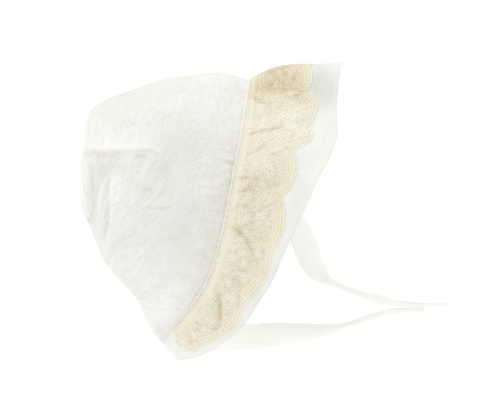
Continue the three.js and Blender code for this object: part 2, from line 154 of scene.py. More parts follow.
# folds where the cloth on the left of a line laps over the cloth on its right: height of
# the lip, depth under it, slide of the lip, reach on both sides, and the brown painted shade under it
FOLDS = {
    "crown": [
        dict(line=plan((72, 150.5), (84, 150), (102, 151), (124, 151.5), (142, 149.5), (154, 150), (162, 154), (166, 161), (167, 170)),
             lip=0.65, depth=1.3, slide=0.3, above=5.0, below=4.5, start=0.001, end=0.28, soil_and_shade=0.32, soil_and_shade_at=2.4, soil_and_shade_wide=2.4, soil_and_shade_to=0.52, round=1.5),
    ],
    "brim": [
        dict(line=plan((246, 134.5), (256, 132.5), (264, 130.5), (274, 129), (289, 127)),
             lip=0.5, depth=1.0, slide=0.5, above=3.6, below=2.6, start=0.12, end=0.35, soil_and_shade=0.42),
        dict(line=plan((246, 156), (254, 151), (262, 146.5), (272, 143)),
             lip=0.4, depth=0.8, slide=0.35, above=3.0, below=2.2, start=0.15, end=0.4, soil_and_shade=0.26),
        dict(line=plan((264, 156), (274, 153.5), (284, 150), (293, 145)),
             lip=0.3, depth=0.8, slide=0.3, above=3.0, below=2.0, start=0.3, end=0.3, soil_and_shade=0.30),
        dict(line=plan((237, 177), (246, 176.5), (255, 178)),
             lip=0.3, depth=0.8, slide=0.2, above=2.4, below=2.0, start=0.2, end=0.35, soil_and_shade=0.42),
        dict(line=plan((235, 192), (243, 190), (251, 186), (259, 186)),
             lip=0.3, depth=0.8, slide=0.2, above=2.4, below=2.0, start=0.2, end=0.4, soil_and_shade=0.34),
        dict(line=plan((253, 91), (256, 99), (262, 105), (270, 107)),
             lip=0.4, depth=0.9, slide=0.3, above=2.6, below=2.0, start=0.25, end=0.35, soil_and_shade=0.40),
    ],
}
# wrinkles along lines of points: how far they stand out (or in), their width, how they
# fade at both ends, and the brown painted shade that lies in them
WRINKLES = {
    "crown": [
        dict(line=plan((80, 148), (100, 148.5), (127, 149), (150, 147.5), (161, 151.5), (166, 160), (168, 171)), out=0.9, width=2.4),
        dict(line=plan((138, 149), (152, 149.5), (160, 153.5), (164.5, 160), (167, 168), (168, 180)), out=0.8, width=1.2),
        dict(line=plan((80, 156), (100, 156.5), (125, 157), (148, 157), (157, 161)), out=-1.0, width=3.0, soil_and_shade=0.06),
        dict(line=plan((134, 157), (143, 157.5), (151, 158)), out=-1.1, width=2.4, soil_and_shade=0.16),
        dict(line=plan((91.5, 158), (92.5, 180), (92.5, 198), (93, 214)), out=-0.7, width=2.2, soil_and_shade=0.33),
        dict(line=plan((111, 163), (105.5, 178), (104, 200), (104, 225), (106, 248)), out=1.0, width=2.2),
        dict(line=plan((114, 167), (110.5, 184), (109.5, 212), (111, 242)), out=-0.7, width=1.5, soil_and_shade=0.20),
        dict(line=plan((124, 160), (117, 175), (114.5, 195), (114, 225), (116, 246)), out=0.9, width=1.9),
        dict(line=plan((130, 162), (123, 182), (121, 214)), out=1.9, width=5.2),
        dict(line=plan((137, 166), (132, 192), (130, 228)), out=-0.7, width=2.2, soil_and_shade=0.06),
        dict(line=plan((146, 160), (141, 174), (138, 198)), out=-0.5, width=2.0, soil_and_shade=0.04),
        dict(line=plan((159, 155), (150, 167), (145, 178)), out=1.0, width=2.2),
        dict(line=plan((153, 168), (149, 178)), out=-0.4, width=2.2, soil_and_shade=0.05),
        dict(line=plan((163, 164), (160, 178), (152, 190)), out=-0.7, width=3.6),
        dict(line=plan((167, 170), (163, 188), (154, 203)), out=0.7, width=2.0),
        dict(line=plan((138, 188), (144, 188.5), (150, 191), (165, 195), (177, 197)), out=-0.7, width=2.2, soil_and_shade=0.08),
        dict(line=plan((140, 206), (150, 203.5), (160, 204.5), (170, 204.5), (179, 208)), out=0.8, width=1.8),
        dict(line=plan((141, 211), (153, 208.5), (166, 209), (176, 212)), out=-0.4, width=2.2),
        dict(line=plan((112, 222), (111, 250), (118, 276)), out=0.6, width=3.5),
        dict(line=plan((127, 226), (128, 262), (137, 292)), out=-0.7, width=3.5),
        dict(line=plan((144, 236), (148, 272), (157, 304)), out=0.6, width=4.5),
        dict(line=plan((222, 182), (205, 177), (186, 180)), out=-0.6, width=2.2),
        dict(line=plan((224, 196), (206, 193), (188, 196)), out=0.6, width=2.0),
        dict(line=plan((214, 240), (195, 243), (176, 252)), out=-0.6, width=2.6),
        dict(line=plan((190, 292), (174, 290), (160, 299)), out=0.6, width=2.6),
        dict(line=plan((120, 119), (146, 112), (172, 107)), out=0.5, width=2.6),
        dict(line=plan((150, 128), (178, 117), (207, 112)), out=-0.6, width=2.6),
        dict(line=plan((104, 131), (128, 126), (150, 128)), out=-0.4, width=2.2),
        dict(line=plan((243, 161), (232, 159.5), (219, 161)), out=0.6, width=1.1),
        dict(line=plan((242, 165), (231, 164.5), (216, 166.5)), out=-0.5, width=1.1),
        dict(line=plan((241, 168.5), (230, 169), (216, 171.5)), out=0.8, width=1.1),
        dict(line=plan((240, 172.5), (229, 174), (214, 177.5)), out=-0.5, width=1.1),
        dict(line=plan((239, 176.5), (228, 179), (215, 184)), out=0.8, width=1.1),
        dict(line=plan((238, 180.5), (227, 184), (214, 189)), out=-0.4, width=1.1),
    ],
    "brim": [
        dict(line=plan((226, 223), (233, 228), (240, 233), (245.5, 239.5), (250.5, 248), (255.5, 257), (260, 265)), out=-1.4, width=1.7, soil_and_shade=0.42, soil_and_shade_wide=1.5),
        dict(line=plan((215, 284), (218.5, 295), (220.5, 307), (220.5, 319), (219, 331)), out=-1.7, width=1.8, soil_and_shade=0.60, soil_and_shade_wide=1.45),
        dict(line=plan((241, 279), (240.5, 290), (239, 302), (239, 314)), out=-1.1, width=1.6, soil_and_shade=0.13),
        dict(line=plan((258, 80), (256, 86), (254, 93)), out=-0.4, width=1.8, soil_and_shade=0.12),
        dict(line=plan((272, 76), (270, 84), (269, 93)), out=-0.4, width=1.8, soil_and_shade=0.14),
        dict(line=plan((258, 262), (266, 272), (268, 282)), out=-0.6, width=1.5, soil_and_shade=0.12),
        dict(line=plan((231, 214), (238, 206), (246, 203)), out=-0.6, width=1.5, soil_and_shade=0.12),
    ],
}
# faint broad stains of the lace and the cotton, and patches of painted light and painted shade, by places in the
# picture
LACE_STAINS = table("u v reach amount", [
    [280, 84, 17, 0.40], [286, 75, 8, 0.16], [270, 91, 7, 0.14], [255, 104, 7, 0.14], [301, 104, 8, 0.12], [262, 88, 9, 0.24], [300, 91, 13, 0.26], [281, 85, 32, 0.31], [250, 178, 8, 0.16], [246, 190, 8, 0.08],
    [262, 180, 9, 0.10], [262, 202, 20, 0.13], [239, 226, 7, 0.05], [247, 241, 6, 0.08], [268, 193, 9, 0.08], [286, 204, 10, 0.14],
    [284, 182, 8, 0.12], [284, 232, 8, 0.14], [246, 266, 10, 0.15], [256, 226, 8, 0.08], [255, 240, 18, 0.07], [258, 290, 10, 0.06], [270, 154, 12, 0.10], [205, 330, 10, 0.02]])
# paler lace where the brim swells up towards the light: painted light
LACE_PAINTED_LIGHT = table("u v reach amount", [
    [298, 121, 12, 1.0], [285, 120, 8, 0.45], [303, 135, 8, 0.55], [271, 149, 8, 0.50], [264, 122, 18, 0.30], [232, 240, 8, 0.25], [254, 108, 7, 0.30]])
COTTON_STAINS = table("u v reach amount", [
    [171, 233, 6, 0.15], [165, 270, 6, 0.11], [200, 215, 8, 0.10], [91, 181, 4, 0.16], [145, 189, 4, 0.16],
    [214, 200, 6, 0.08], [206, 256, 7, 0.09], [158, 285, 6, 0.06]])
BRIM_STAINS = table("u v reach amount", [[226, 341, 12, 0.06], [252, 312, 10, 0.04]])
RIBBON_STAINS = table("u v reach amount", [[249, 338, 18, 0.46]])
# patches of painted shade on the crown and the brim, such as in the brim's top dent and under the fold; a negative
# amount takes some painted shade away
PAINTED_SHADE_PATCHES = table("u v wide tall amount", [
    [176, 206, 44, 40, 0.50], [190, 146, 42, 34, 0.54], [92, 190, 10, 40, 0.34], [320, 86, 16, 20, 1.22],
    [262, 300, 14, 24, 0.30], [160, 92, 80, 34, 0.50], [103, 118, 38, 36, 0.36], [114, 216, 22, 30, 0.20],
    [106, 156, 28, 5, 0.18], [143, 158, 9, 5, 0.36], [114, 166, 22, 9, 0.50], [144, 184, 15, 24, 0.30],
    [104, 177, 9, 13, 0.44], [166, 166, 10, 20, 0.16], [160, 254, 40, 22, 0.26], [192, 238, 18, 18, 0.12],
    [128, 232, 14, 20, 0.14], [234, 92, 14, 11, 0.24], [142, 130, 22, 12, 0.10], [326, 107, 13, 9, 0.28],
    [301, 188, 8, 16, 0.26], [140, 286, 14, 12, 0.14], [213, 265, 8, 16, -0.40], [228, 168, 8, 10, -0.20], [294, 206, 7, 18, 0.22],
    [285, 246, 9, 26, 0.27], [274, 273, 8, 12, 0.24], [291, 221, 7, 9, 0.12], [332, 94, 8, 9, 0.20], [240, 328, 10, 9, 0.16], [180, 105, 12, 8, -0.15], [196, 254, 8, 8, 0.14],
    [213, 228, 9, 24, -0.06], [121, 168, 8, 8, 0.14], [164, 330, 9, 8, 0.16], [164, 172, 9, 9, 0.12], [184, 226, 9, 8, 0.12], [181, 270, 8, 8, 0.12], [210, 181, 7, 6, 0.12], [210, 240, 6, 8, 0.12]])


# ---------------------------------------------------------------- smooth values
def between(rows, key, column, at):
    k, c = rows[key], rows[column]
    at = np.clip(np.asarray(at, float), k[0], k[-1])
    span = np.diff(k)
    slope = np.diff(c) / span
    tangent = np.empty_like(c)
    tangent[0], tangent[-1] = slope[0], slope[-1]
    tangent[1:-1] = (slope[:-1] * span[1:] + slope[1:] * span[:-1]) / (span[:-1] + span[1:])
    i = np.clip(np.searchsorted(k, at, side="left") - 1, 0, len(span) - 1)
    h = span[i]
    u = (at - k[i]) / h
    u2, u3 = u * u, u * u * u
    return ((2 * u3 - 3 * u2 + 1) * c[i] + (u3 - 2 * u2 + u) * h * tangent[i]
            + (3 * u2 - 2 * u3) * c[i + 1] + (u3 - u2) * h * tangent[i + 1])


def route(rows):
    step = np.hypot(np.diff(rows["x"]), np.diff(rows["y"]))
    at = np.concatenate([[0], np.cumsum(step)])
    rows = {**rows, "at": at / at[-1]}
    return lambda t, column: between(rows, "at", column, t)


def ease(t):
    t = np.clip(t, 0, 1)
    return t * t * (3 - 2 * t)


def unit(vectors):
    return vectors / np.maximum(np.linalg.norm(vectors, axis=-1, keepdims=True), 1e-9)


def hashed(ix, iy, seed):
    h = (ix * 374761393 + iy * 668265263 + seed * 974634481) & 0xFFFFFFFF
    h = ((h ^ (h >> 13)) * 1274126177) & 0xFFFFFFFF
    return ((h ^ (h >> 16)) & 0xFFFF) / 32767.5 - 1.0


def noise(x, y, seed):
    """smooth noise of about -1..1, the same on each run"""
    x, y = np.broadcast_arrays(np.asarray(x, float), np.asarray(y, float))
    ix, iy = np.floor(x).astype(np.int64), np.floor(y).astype(np.int64)
    fx, fy = x - ix, y - iy
    fade = lambda f: f * f * f * (f * (f * 6 - 15) + 10)
    total = np.zeros(x.shape)
    for dx in (0, 1):
        for dy in (0, 1):
            turn = math.pi * hashed(ix + dx, iy + dy, seed)
            lean = np.cos(turn) * (fx - dx) + np.sin(turn) * (fy - dy)
            total += fade(fx if dx else 1 - fx) * fade(fy if dy else 1 - fy) * lean
    return total * 1.6


ridge, neck, brim_edge = route(RIDGE), route(NECK), route(BRIM_EDGE)


# --------------------------------------------------------------------- surfaces
def half_section(m, reach, full, hem, square):
    power = 2 / square
    turn = np.clip(m / TURN, 0, 1) * math.pi / 2
    u = np.clip((m - TURN) / (1 - TURN), 0, 1)
    share = np.where(m < TURN, reach * (1 - np.maximum(np.cos(turn), 0) ** power), reach + (1 - reach) * u)
    rise = np.where(m < TURN, full * np.sin(turn) ** power, hem + (full - hem) * (1 - u * u))
    return share, rise


RIDGE_START = np.array([ridge(0, "x"), ridge(0, "y")])
NECK_START = np.array([neck(0, "x"), neck(0, "y")])
SEAM_CHORD = NECK_START - RIDGE_START
SEAM_LENGTH = np.hypot(*SEAM_CHORD)


def seam_plan(share):
    bow = between(SEAM_BOW, "share", "bow", share)
    return (RIDGE_START[0] + SEAM_CHORD[0] * share - SEAM_CHORD[1] / SEAM_LENGTH * bow,
            RIDGE_START[1] + SEAM_CHORD[1] * share + SEAM_CHORD[0] / SEAM_LENGTH * bow)


def crown_point(s, v):
    s, v = np.broadcast_arrays(np.asarray(s, float), np.asarray(v, float))
    near = v >= 0
    row = lambda column: between(SECTIONS, "s", column, s)
    top_x, top_y = ridge(s, "x"), ridge(s, "y")
    fade = np.maximum(1 - s, 0) ** 1.5
    slip_x, slip_y = seam_plan(FAR_SLIP)
    hem_x = neck(s, "x") + np.where(near, 0, (slip_x - NECK_START[0]) * fade)
    hem_y = neck(s, "y") + np.where(near, 0, (slip_y - NECK_START[1]) * fade)
    chord_x, chord_y = hem_x - top_x, hem_y - top_y
    length = np.hypot(chord_x, chord_y)
    reach = np.minimum(row("round") / length, 0.75)
    near_share, near_rise = half_section(np.maximum(v, 0), reach, row("near"), row("near_hem"), NEAR_SQUARE)
    far_share, far_rise = half_section(np.maximum(-v, 0), reach, row("far"), row("far_hem"), FAR_SQUARE)
    share = np.where(near, near_share, far_share)
    bow = np.where(near, 1, 0.6) * between(SEAM_BOW, "share", "bow", share) * fade
    return np.stack([top_x + chord_x * share - chord_y / length * bow,
                     top_y + chord_y * share + chord_x / length * bow,
                     np.maximum(RIDGE_Z + np.where(near, near_rise, -far_rise), 0)], -1)


def seam_share(v):
    v = np.asarray(v, float)
    near_hem, far_hem = seam_plan(1.0), seam_plan(FAR_SLIP)
    out = []
    for hem, m, square in ((near_hem, np.maximum(v, 0), NEAR_SQUARE), (far_hem, np.maximum(-v, 0), FAR_SQUARE)):
        length = math.hypot(hem[0] - RIDGE_START[0], hem[1] - RIDGE_START[1])
        reach = min(SECTIONS["round"][0] / length, 0.75)
        out.append(half_section(m, reach, 1.0, 1.0, square)[0])
    return np.where(v >= 0, out[0], out[1])


def brim_edge_point(v):
    v = np.asarray(v, float)
    near, share = v >= 0, seam_share(v)
    seam = crown_point(0.0, v)
    t = np.where(near, share, share * FAR_SLIP)
    flare = between(BRIM_FLARE, "share", "rise", share)
    x = brim_edge(t, "x") - np.where(near, 0, FAR_TUCK * np.minimum(1, share / 0.25))
    z = np.where(near, seam[..., 2] + flare, np.maximum(seam[..., 2] - flare, FLOOR_BRIM))
    return np.stack([x, brim_edge(t, "y"), z], -1)


def lace_width(v):
    share = seam_share(v)
    k = NOTCHES["share"]
    i = np.clip(np.searchsorted(k, share, side="right") - 1, 0, len(k) - 2)
    root = lambda value: np.sign(value) * np.sqrt(np.abs(value))       # about even along the curve of the head
    swell = np.maximum(np.sin(math.pi * (root(share) - root(k[i])) / (root(k[i + 1]) - root(k[i]))), 0) ** 0.8
    return between(NOTCHES, "share", "width", share) + NOTCHES["depth"][i] * swell


def swells_out(rows, x, y):
    """how far the soft dents and swellings move the cloth out"""
    out = np.zeros(x.shape)
    for u0, v0, u1, v1, rise, width in zip(*(rows[c] for c in ("u0", "v0", "u1", "v1", "out", "width"))):
        (x0, y0), (x1, y1) = plan((u0, v0), (u1, v1))
        dx, dy = x1 - x0, y1 - y0
        length = math.hypot(dx, dy)
        t = ((x - x0) * dx + (y - y0) * dy) / length ** 2
        end = np.maximum(0, np.maximum(-t, t - 1)) * length
        off = ((x - x0) * dy - (y - y0) * dx) / length
        out += rise * np.exp(-(off * off + end * end) / width ** 2)
    return out


def trace(line, x, y):
    """distance to the left of a line of points, share of the way along it, and its left normal"""
    line = np.array(line)
    lengths = np.hypot(*np.diff(line, axis=0).T)
    total, best = lengths.sum(), np.full(x.shape, 1e9)
    found = [np.zeros(x.shape) for _ in range(4)]
    done = 0.0
    for (x0, y0), (x1, y1), length in zip(line[:-1], line[1:], lengths):
        dx, dy = (x1 - x0) / length, (y1 - y0) / length
        along = np.clip((x - x0) * dx + (y - y0) * dy, 0, length)
        px, py = x - x0 - along * dx, y - y0 - along * dy
        gap = np.hypot(px, py)
        closer = gap < best
        best = np.where(closer, gap, best)
        side = np.where(dx * py - dy * px >= 0, 1.0, -1.0)
        for k, value in enumerate((side * gap, (done + along) / total, np.full(x.shape, -dy), np.full(x.shape, dx))):
            found[k] = np.where(closer, value, found[k])
        done += length
    return found


def folds_move(name, x, y):
    """how far folds and wrinkles move the cloth out and along the surface, and the brown painted shade that lies in
    them
    """
    out, slide_x, slide_y, soil_and_shade = (np.zeros(x.shape) for _ in range(4))
    for fold in FOLDS[name]:
        d, t, nx, ny = trace(fold["line"], x, y)
        part = ease(t / fold["start"]) * ease((1 - t) / fold["end"])
        upper = 0.5 * (1 + np.tanh(d / fold.get("round", 0.7)))
        out += part * (fold["lip"] * upper * np.exp(-np.maximum(d, 0) / fold["above"])
                       - fold["depth"] * (1 - upper) * np.exp(-np.maximum(-d, 0) / fold["below"]))
        slide = part * fold["slide"] * upper * np.exp(-(d / (0.6 * fold["above"])) ** 2)
        slide_x -= nx * slide
        slide_y -= ny * slide
        # brown painted shade under the lip of the fold
        toned = part * ease((fold.get("soil_and_shade_to", 2.0) - t) / 0.12)
        soil_and_shade += toned * fold["soil_and_shade"] * np.exp(-((d + fold.get("soil_and_shade_at", 0.7)) / fold.get("soil_and_shade_wide", 1.2)) ** 2)
    for wrinkle in WRINKLES[name]:
        d, t, _, _ = trace(wrinkle["line"], x, y)
        part = ease(t / 0.3) * ease((1 - t) / 0.35)
        out += part * wrinkle["out"] * (0.7 * np.exp(-(d / wrinkle["width"]) ** 2) + 0.3 * np.exp(-np.abs(d) / (0.55 * wrinkle["width"])))
        soil_and_shade += part * wrinkle.get("soil_and_shade", 0) * np.exp(-(d / wrinkle.get("soil_and_shade_wide", 1.3)) ** 2)
    return out, slide_x, slide_y, np.clip(soil_and_shade, 0, 1.2)


def soft_spots(rows, x, y):
    total = np.zeros(x.shape)
    for u, v, reach, amount in zip(rows["u"], rows["v"], rows["reach"], rows["amount"]):
        (sx, sy), = plan((u, v))
        total += amount * np.exp(-((x - sx) ** 2 + (y - sy) ** 2) / (reach * PIXEL) ** 2)
    return total


# painted shade of the patches at each place
def painted_shade_at(rows, x, y):
    total = np.zeros(x.shape)
    for u, v, wide, tall, amount in zip(*(rows[c] for c in ("u", "v", "wide", "tall", "amount"))):
        (sx, sy), = plan((u, v))
        total += amount * np.exp(-((x - sx) / (wide * PIXEL)) ** 2 - ((y - sy) / (tall * PIXEL)) ** 2)
    return total


# ------------------------------------------------------------------ mesh making
def grid_out(grid):
    return unit(np.cross(np.gradient(grid, axis=0), np.gradient(grid, axis=1)))


def make(name, points, faces, fields=None):
    mesh = bpy.data.meshes.new(name)
    mesh.from_pydata((np.asarray(points, float) * 0.001).tolist(), [], [f for block in faces for f in np.asarray(block).tolist()])
    mesh.validate()
    for field, values in (fields or {}).items():
        values = np.asarray(values, np.float32)
        if values.ndim == 2:
            mesh.attributes.new(field, "FLOAT_VECTOR", "POINT").data.foreach_set("vector", values.ravel())
        else:
            mesh.attributes.new(field, "FLOAT", "POINT").data.foreach_set("value", values)
    mesh.shade_smooth()
    piece = bpy.data.objects.new(name, mesh)
    bpy.context.scene.collection.objects.link(piece)
    return piece


def around(index):
    return np.concatenate([index[:-1, 0], index[-1, :-1], index[:0:-1, -1], index[0, :0:-1]])


def quads_of(index):
    return np.stack([index[:-1, :-1], index[1:, :-1], index[1:, 1:], index[:-1, 1:]], -1).reshape(-1, 4)


def shell(outer, inner, rim=3):
    """points and faces of a closed wall between two grids, with a rounded rim and a coarser
    inner face; also where each point is on the grid"""
    rows, columns = outer.shape[:2]
    index = np.arange(rows * columns).reshape(rows, columns)
    coarse = index[::2, ::2]
    count = rows * columns
    inside = count + np.arange(coarse.size).reshape(coarse.shape)
    loop = around(index)
    away = np.zeros_like(outer)
    away[0] += unit(outer[0] - outer[1])
    away[-1] += unit(outer[-1] - outer[-2])
    away[:, 0] += unit(outer[:, 0] - outer[:, 1])
    away[:, -1] += unit(outer[:, -1] - outer[:, -2])
    flat_outer, flat_inner, flat_away = (g.reshape(-1, 3) for g in (outer, inner, unit(away)))
    half = (flat_outer[loop] - flat_inner[loop]) / 2
    thick = np.linalg.norm(half, axis=1, keepdims=True)
    points, place, rings = [flat_outer, flat_inner[coarse.ravel()]], [index.ravel(), coarse.ravel()], [loop]
    for k in range(rim):
        turn = math.pi * (k + 1) / (rim + 1)
        points.append((flat_outer[loop] + flat_inner[loop]) / 2 + half * math.cos(turn) + flat_away[loop] * thick * math.sin(turn))
        rings.append(count + coarse.size + k * len(loop) + np.arange(len(loop)))
        place.append(loop)
    faces = [quads_of(index), quads_of(inside)[:, ::-1]]
    for a, b in zip(rings[:-1], rings[1:]):
        faces.append(np.stack([np.roll(a, -1), a, b, np.roll(b, -1)], -1))
    last, rest = rings[-1], around(inside)
    faces.append(np.stack([np.roll(last, -2)[::2], last[1::2], last[::2], rest, np.roll(rest, -1)], -1))
    return np.concatenate(points), faces, np.concatenate(place)


# ------------------------------------------------------------------- brim field
# the brim's outer face on a fine grid: across it (0 seam .. 1 front edge) and along it
# (mm from the top of the head, near side positive); brim and lace are read from it
_v = np.linspace(-1, 1, 4001)
_seam, _edge = crown_point(0.0, _v), brim_edge_point(_v)
_line = _seam + 0.4 * (_edge - _seam)
_along = np.concatenate([[0], np.cumsum(np.linalg.norm(np.diff(_line, axis=0), axis=1))])
_along -= np.interp(0.0, _v, _along)
_share = seam_share(_v)
_wide = np.linalg.norm(_edge - _seam, axis=1)
FAR_END, NEAR_END = _along[0], _along[-1]


def v_at(a):
    return np.interp(a, _along, _v)


def width_at(a):
    return np.interp(a, _along, _wide)


def along_at(share, near):
    side = _v >= 0 if near else _v <= 0
    order = np.argsort(_share[side], kind="stable")
    return float(np.interp(share, _share[side][order], _along[side][order]))


FIELD_A = np.linspace(FAR_END, NEAR_END, 1301)
FIELD_W = np.linspace(0, 1, 176)


def brim_field():
    v = v_at(FIELD_A)
    seam, edge = crown_point(0.0, v), brim_edge_point(v)
    w = FIELD_W[:, None]
    base = seam[None] + w[..., None] * (edge - seam)[None]
    far = (v < 0)[None]
    base[..., 2] = np.where(far, np.maximum(base[..., 2], FLOOR_BRIM), base[..., 2])
    out = -grid_out(base)
    x, y = base[..., 0], base[..., 1]
    near = ease((v - 0.02) / 0.18)[None]
    camber = between(BRIM_CAMBER, "w", "bulge", w) * between(CAMBER_FADE, "share", "part", seam_share(v))[None]
    fold, slide_x, slide_y, soil_and_shade = folds_move("brim", x, y)
    stain = soft_spots(LACE_STAINS, x, y)
    stain = stain * np.clip(1 + 0.32 * noise(x / 3.4, y / 3.4, 61) + 0.28 * noise(x / 1.5, y / 1.5, 62), 0.3, 1.9)
    # painted shade on the brim
    painted_shade = painted_shade_at(PAINTED_SHADE_PATCHES, x, y)
    painted_light = soft_spots(LACE_PAINTED_LIGHT, x, y)
    a = np.broadcast_to(FIELD_A[None], x.shape)
    across = np.broadcast_to(w * width_at(FIELD_A)[None], x.shape)
    held = ease(w / 0.2)                       # cloth is held at the seam
    wave = 0.55 * noise(a / 21, across / 34, 3) + 0.28 * noise(a / 8.5, across / 15, 4)
    pucker = 0.35 * noise(a / 3.4, across / 22, 5) * np.exp(-across / 8)
    crumple = 0.12 * noise(a / 3.0 + 0.5 * noise(a / 9, across / 9, 6), across / 3.6, 7)
    sideways = 0.9 * noise(a / 26, 0.7 * w + 0 * a, 8) * ease((w - 0.6) / 0.4)
    move = camber + near * (ease(across / 8) * swells_out(BRIM_SWELLS, x, y) + ease(across / 2.5) * fold) + held * (wave + crumple) + pucker
    move = move + near * sideways
    points = base + out * move[..., None]
    points[..., 0] += near * slide_x
    points[..., 1] += near * slide_y
    lying = ease((FLOOR_BRIM + 6 - base[..., 2]) / 6) * far
    points[..., 2] = np.where(far, np.maximum(points[..., 2], FLOOR_BRIM + 0.25 * lying * (1 + noise(a / 14, across / 14, 9))), points[..., 2])
    normals = unit(-grid_out(points) + out)
    over = ease((v + 0.40) / 0.45)[None]          # toning goes on over the top of the head and fades out
    return points, normals, near * soil_and_shade, over * stain, over * painted_shade, near * painted_light


FIELD_P, FIELD_N, FIELD_CREASE_SOIL_AND_SHADE, FIELD_STAIN, FIELD_PAINTED_SHADE, FIELD_PAINTED_LIGHT = brim_field()


def read_field(grid, a, w):
    """value of a field at places a (mm along) and w (share across)"""
    i = np.clip(np.asarray(w, float) * (len(FIELD_W) - 1), 0, len(FIELD_W) - 1.001)
    j = np.clip((np.asarray(a, float) - FAR_END) / (NEAR_END - FAR_END) * (len(FIELD_A) - 1), 0, len(FIELD_A) - 1.001)
    i0, j0 = i.astype(int), j.astype(int)
    fi, fj = i - i0, j - j0
    if grid.ndim == 3:
        fi, fj = fi[..., None], fj[..., None]
    return ((grid[i0, j0] * (1 - fj) + grid[i0, j0 + 1] * fj) * (1 - fi)
            + (grid[i0 + 1, j0] * (1 - fj) + grid[i0 + 1, j0 + 1] * fj) * fi)


# ------------------------------------------------------------------------- brim
def make_brim():
    a = np.concatenate([np.linspace(FAR_END, 0, 241)[:-1], np.linspace(0, NEAR_END, 521)])
    back = 0.6 / width_at(a)
    r = np.linspace(0, 1, 77)[:, None]
    w = 1 + (back[None] - 1) * r
    grid_a = np.broadcast_to(a[None], w.shape)
    points, normals = read_field(FIELD_P, grid_a, w), read_field(FIELD_N, grid_a, w)
    from_edge = (1 - w) * width_at(a)[None]
    hem = 0.14 * ease((6.4 - from_edge) / 0.9) - 0.08 * np.exp(-((from_edge - 5.6) / 0.5) ** 2)
    far = (v_at(a) < 0)[None]
    outer = points + normals * np.where(far, 0, hem)[..., None]
    inner = points - normals * (CLOTH + np.maximum(hem, 0))[..., None]
    where, faces, place = shell(outer, inner)
    soil_and_shade, painted_shade = (read_field(f, grid_a, w).ravel()[place] for f in (FIELD_CREASE_SOIL_AND_SHADE, FIELD_PAINTED_SHADE))
    soil_and_shade = soil_and_shade + soft_spots(BRIM_STAINS, where[:, 0], where[:, 1]) * (where[:, 2] > RIDGE_Z)
    cloth = np.stack([grid_a, w * width_at(a)[None], np.zeros(w.shape)], -1).reshape(-1, 3)[place]
    return make("brim_cotton", where, faces, {"cloth": cloth, "soil_and_shade": soil_and_shade, "painted_shade": painted_shade}), points[-1], normals[-1], a


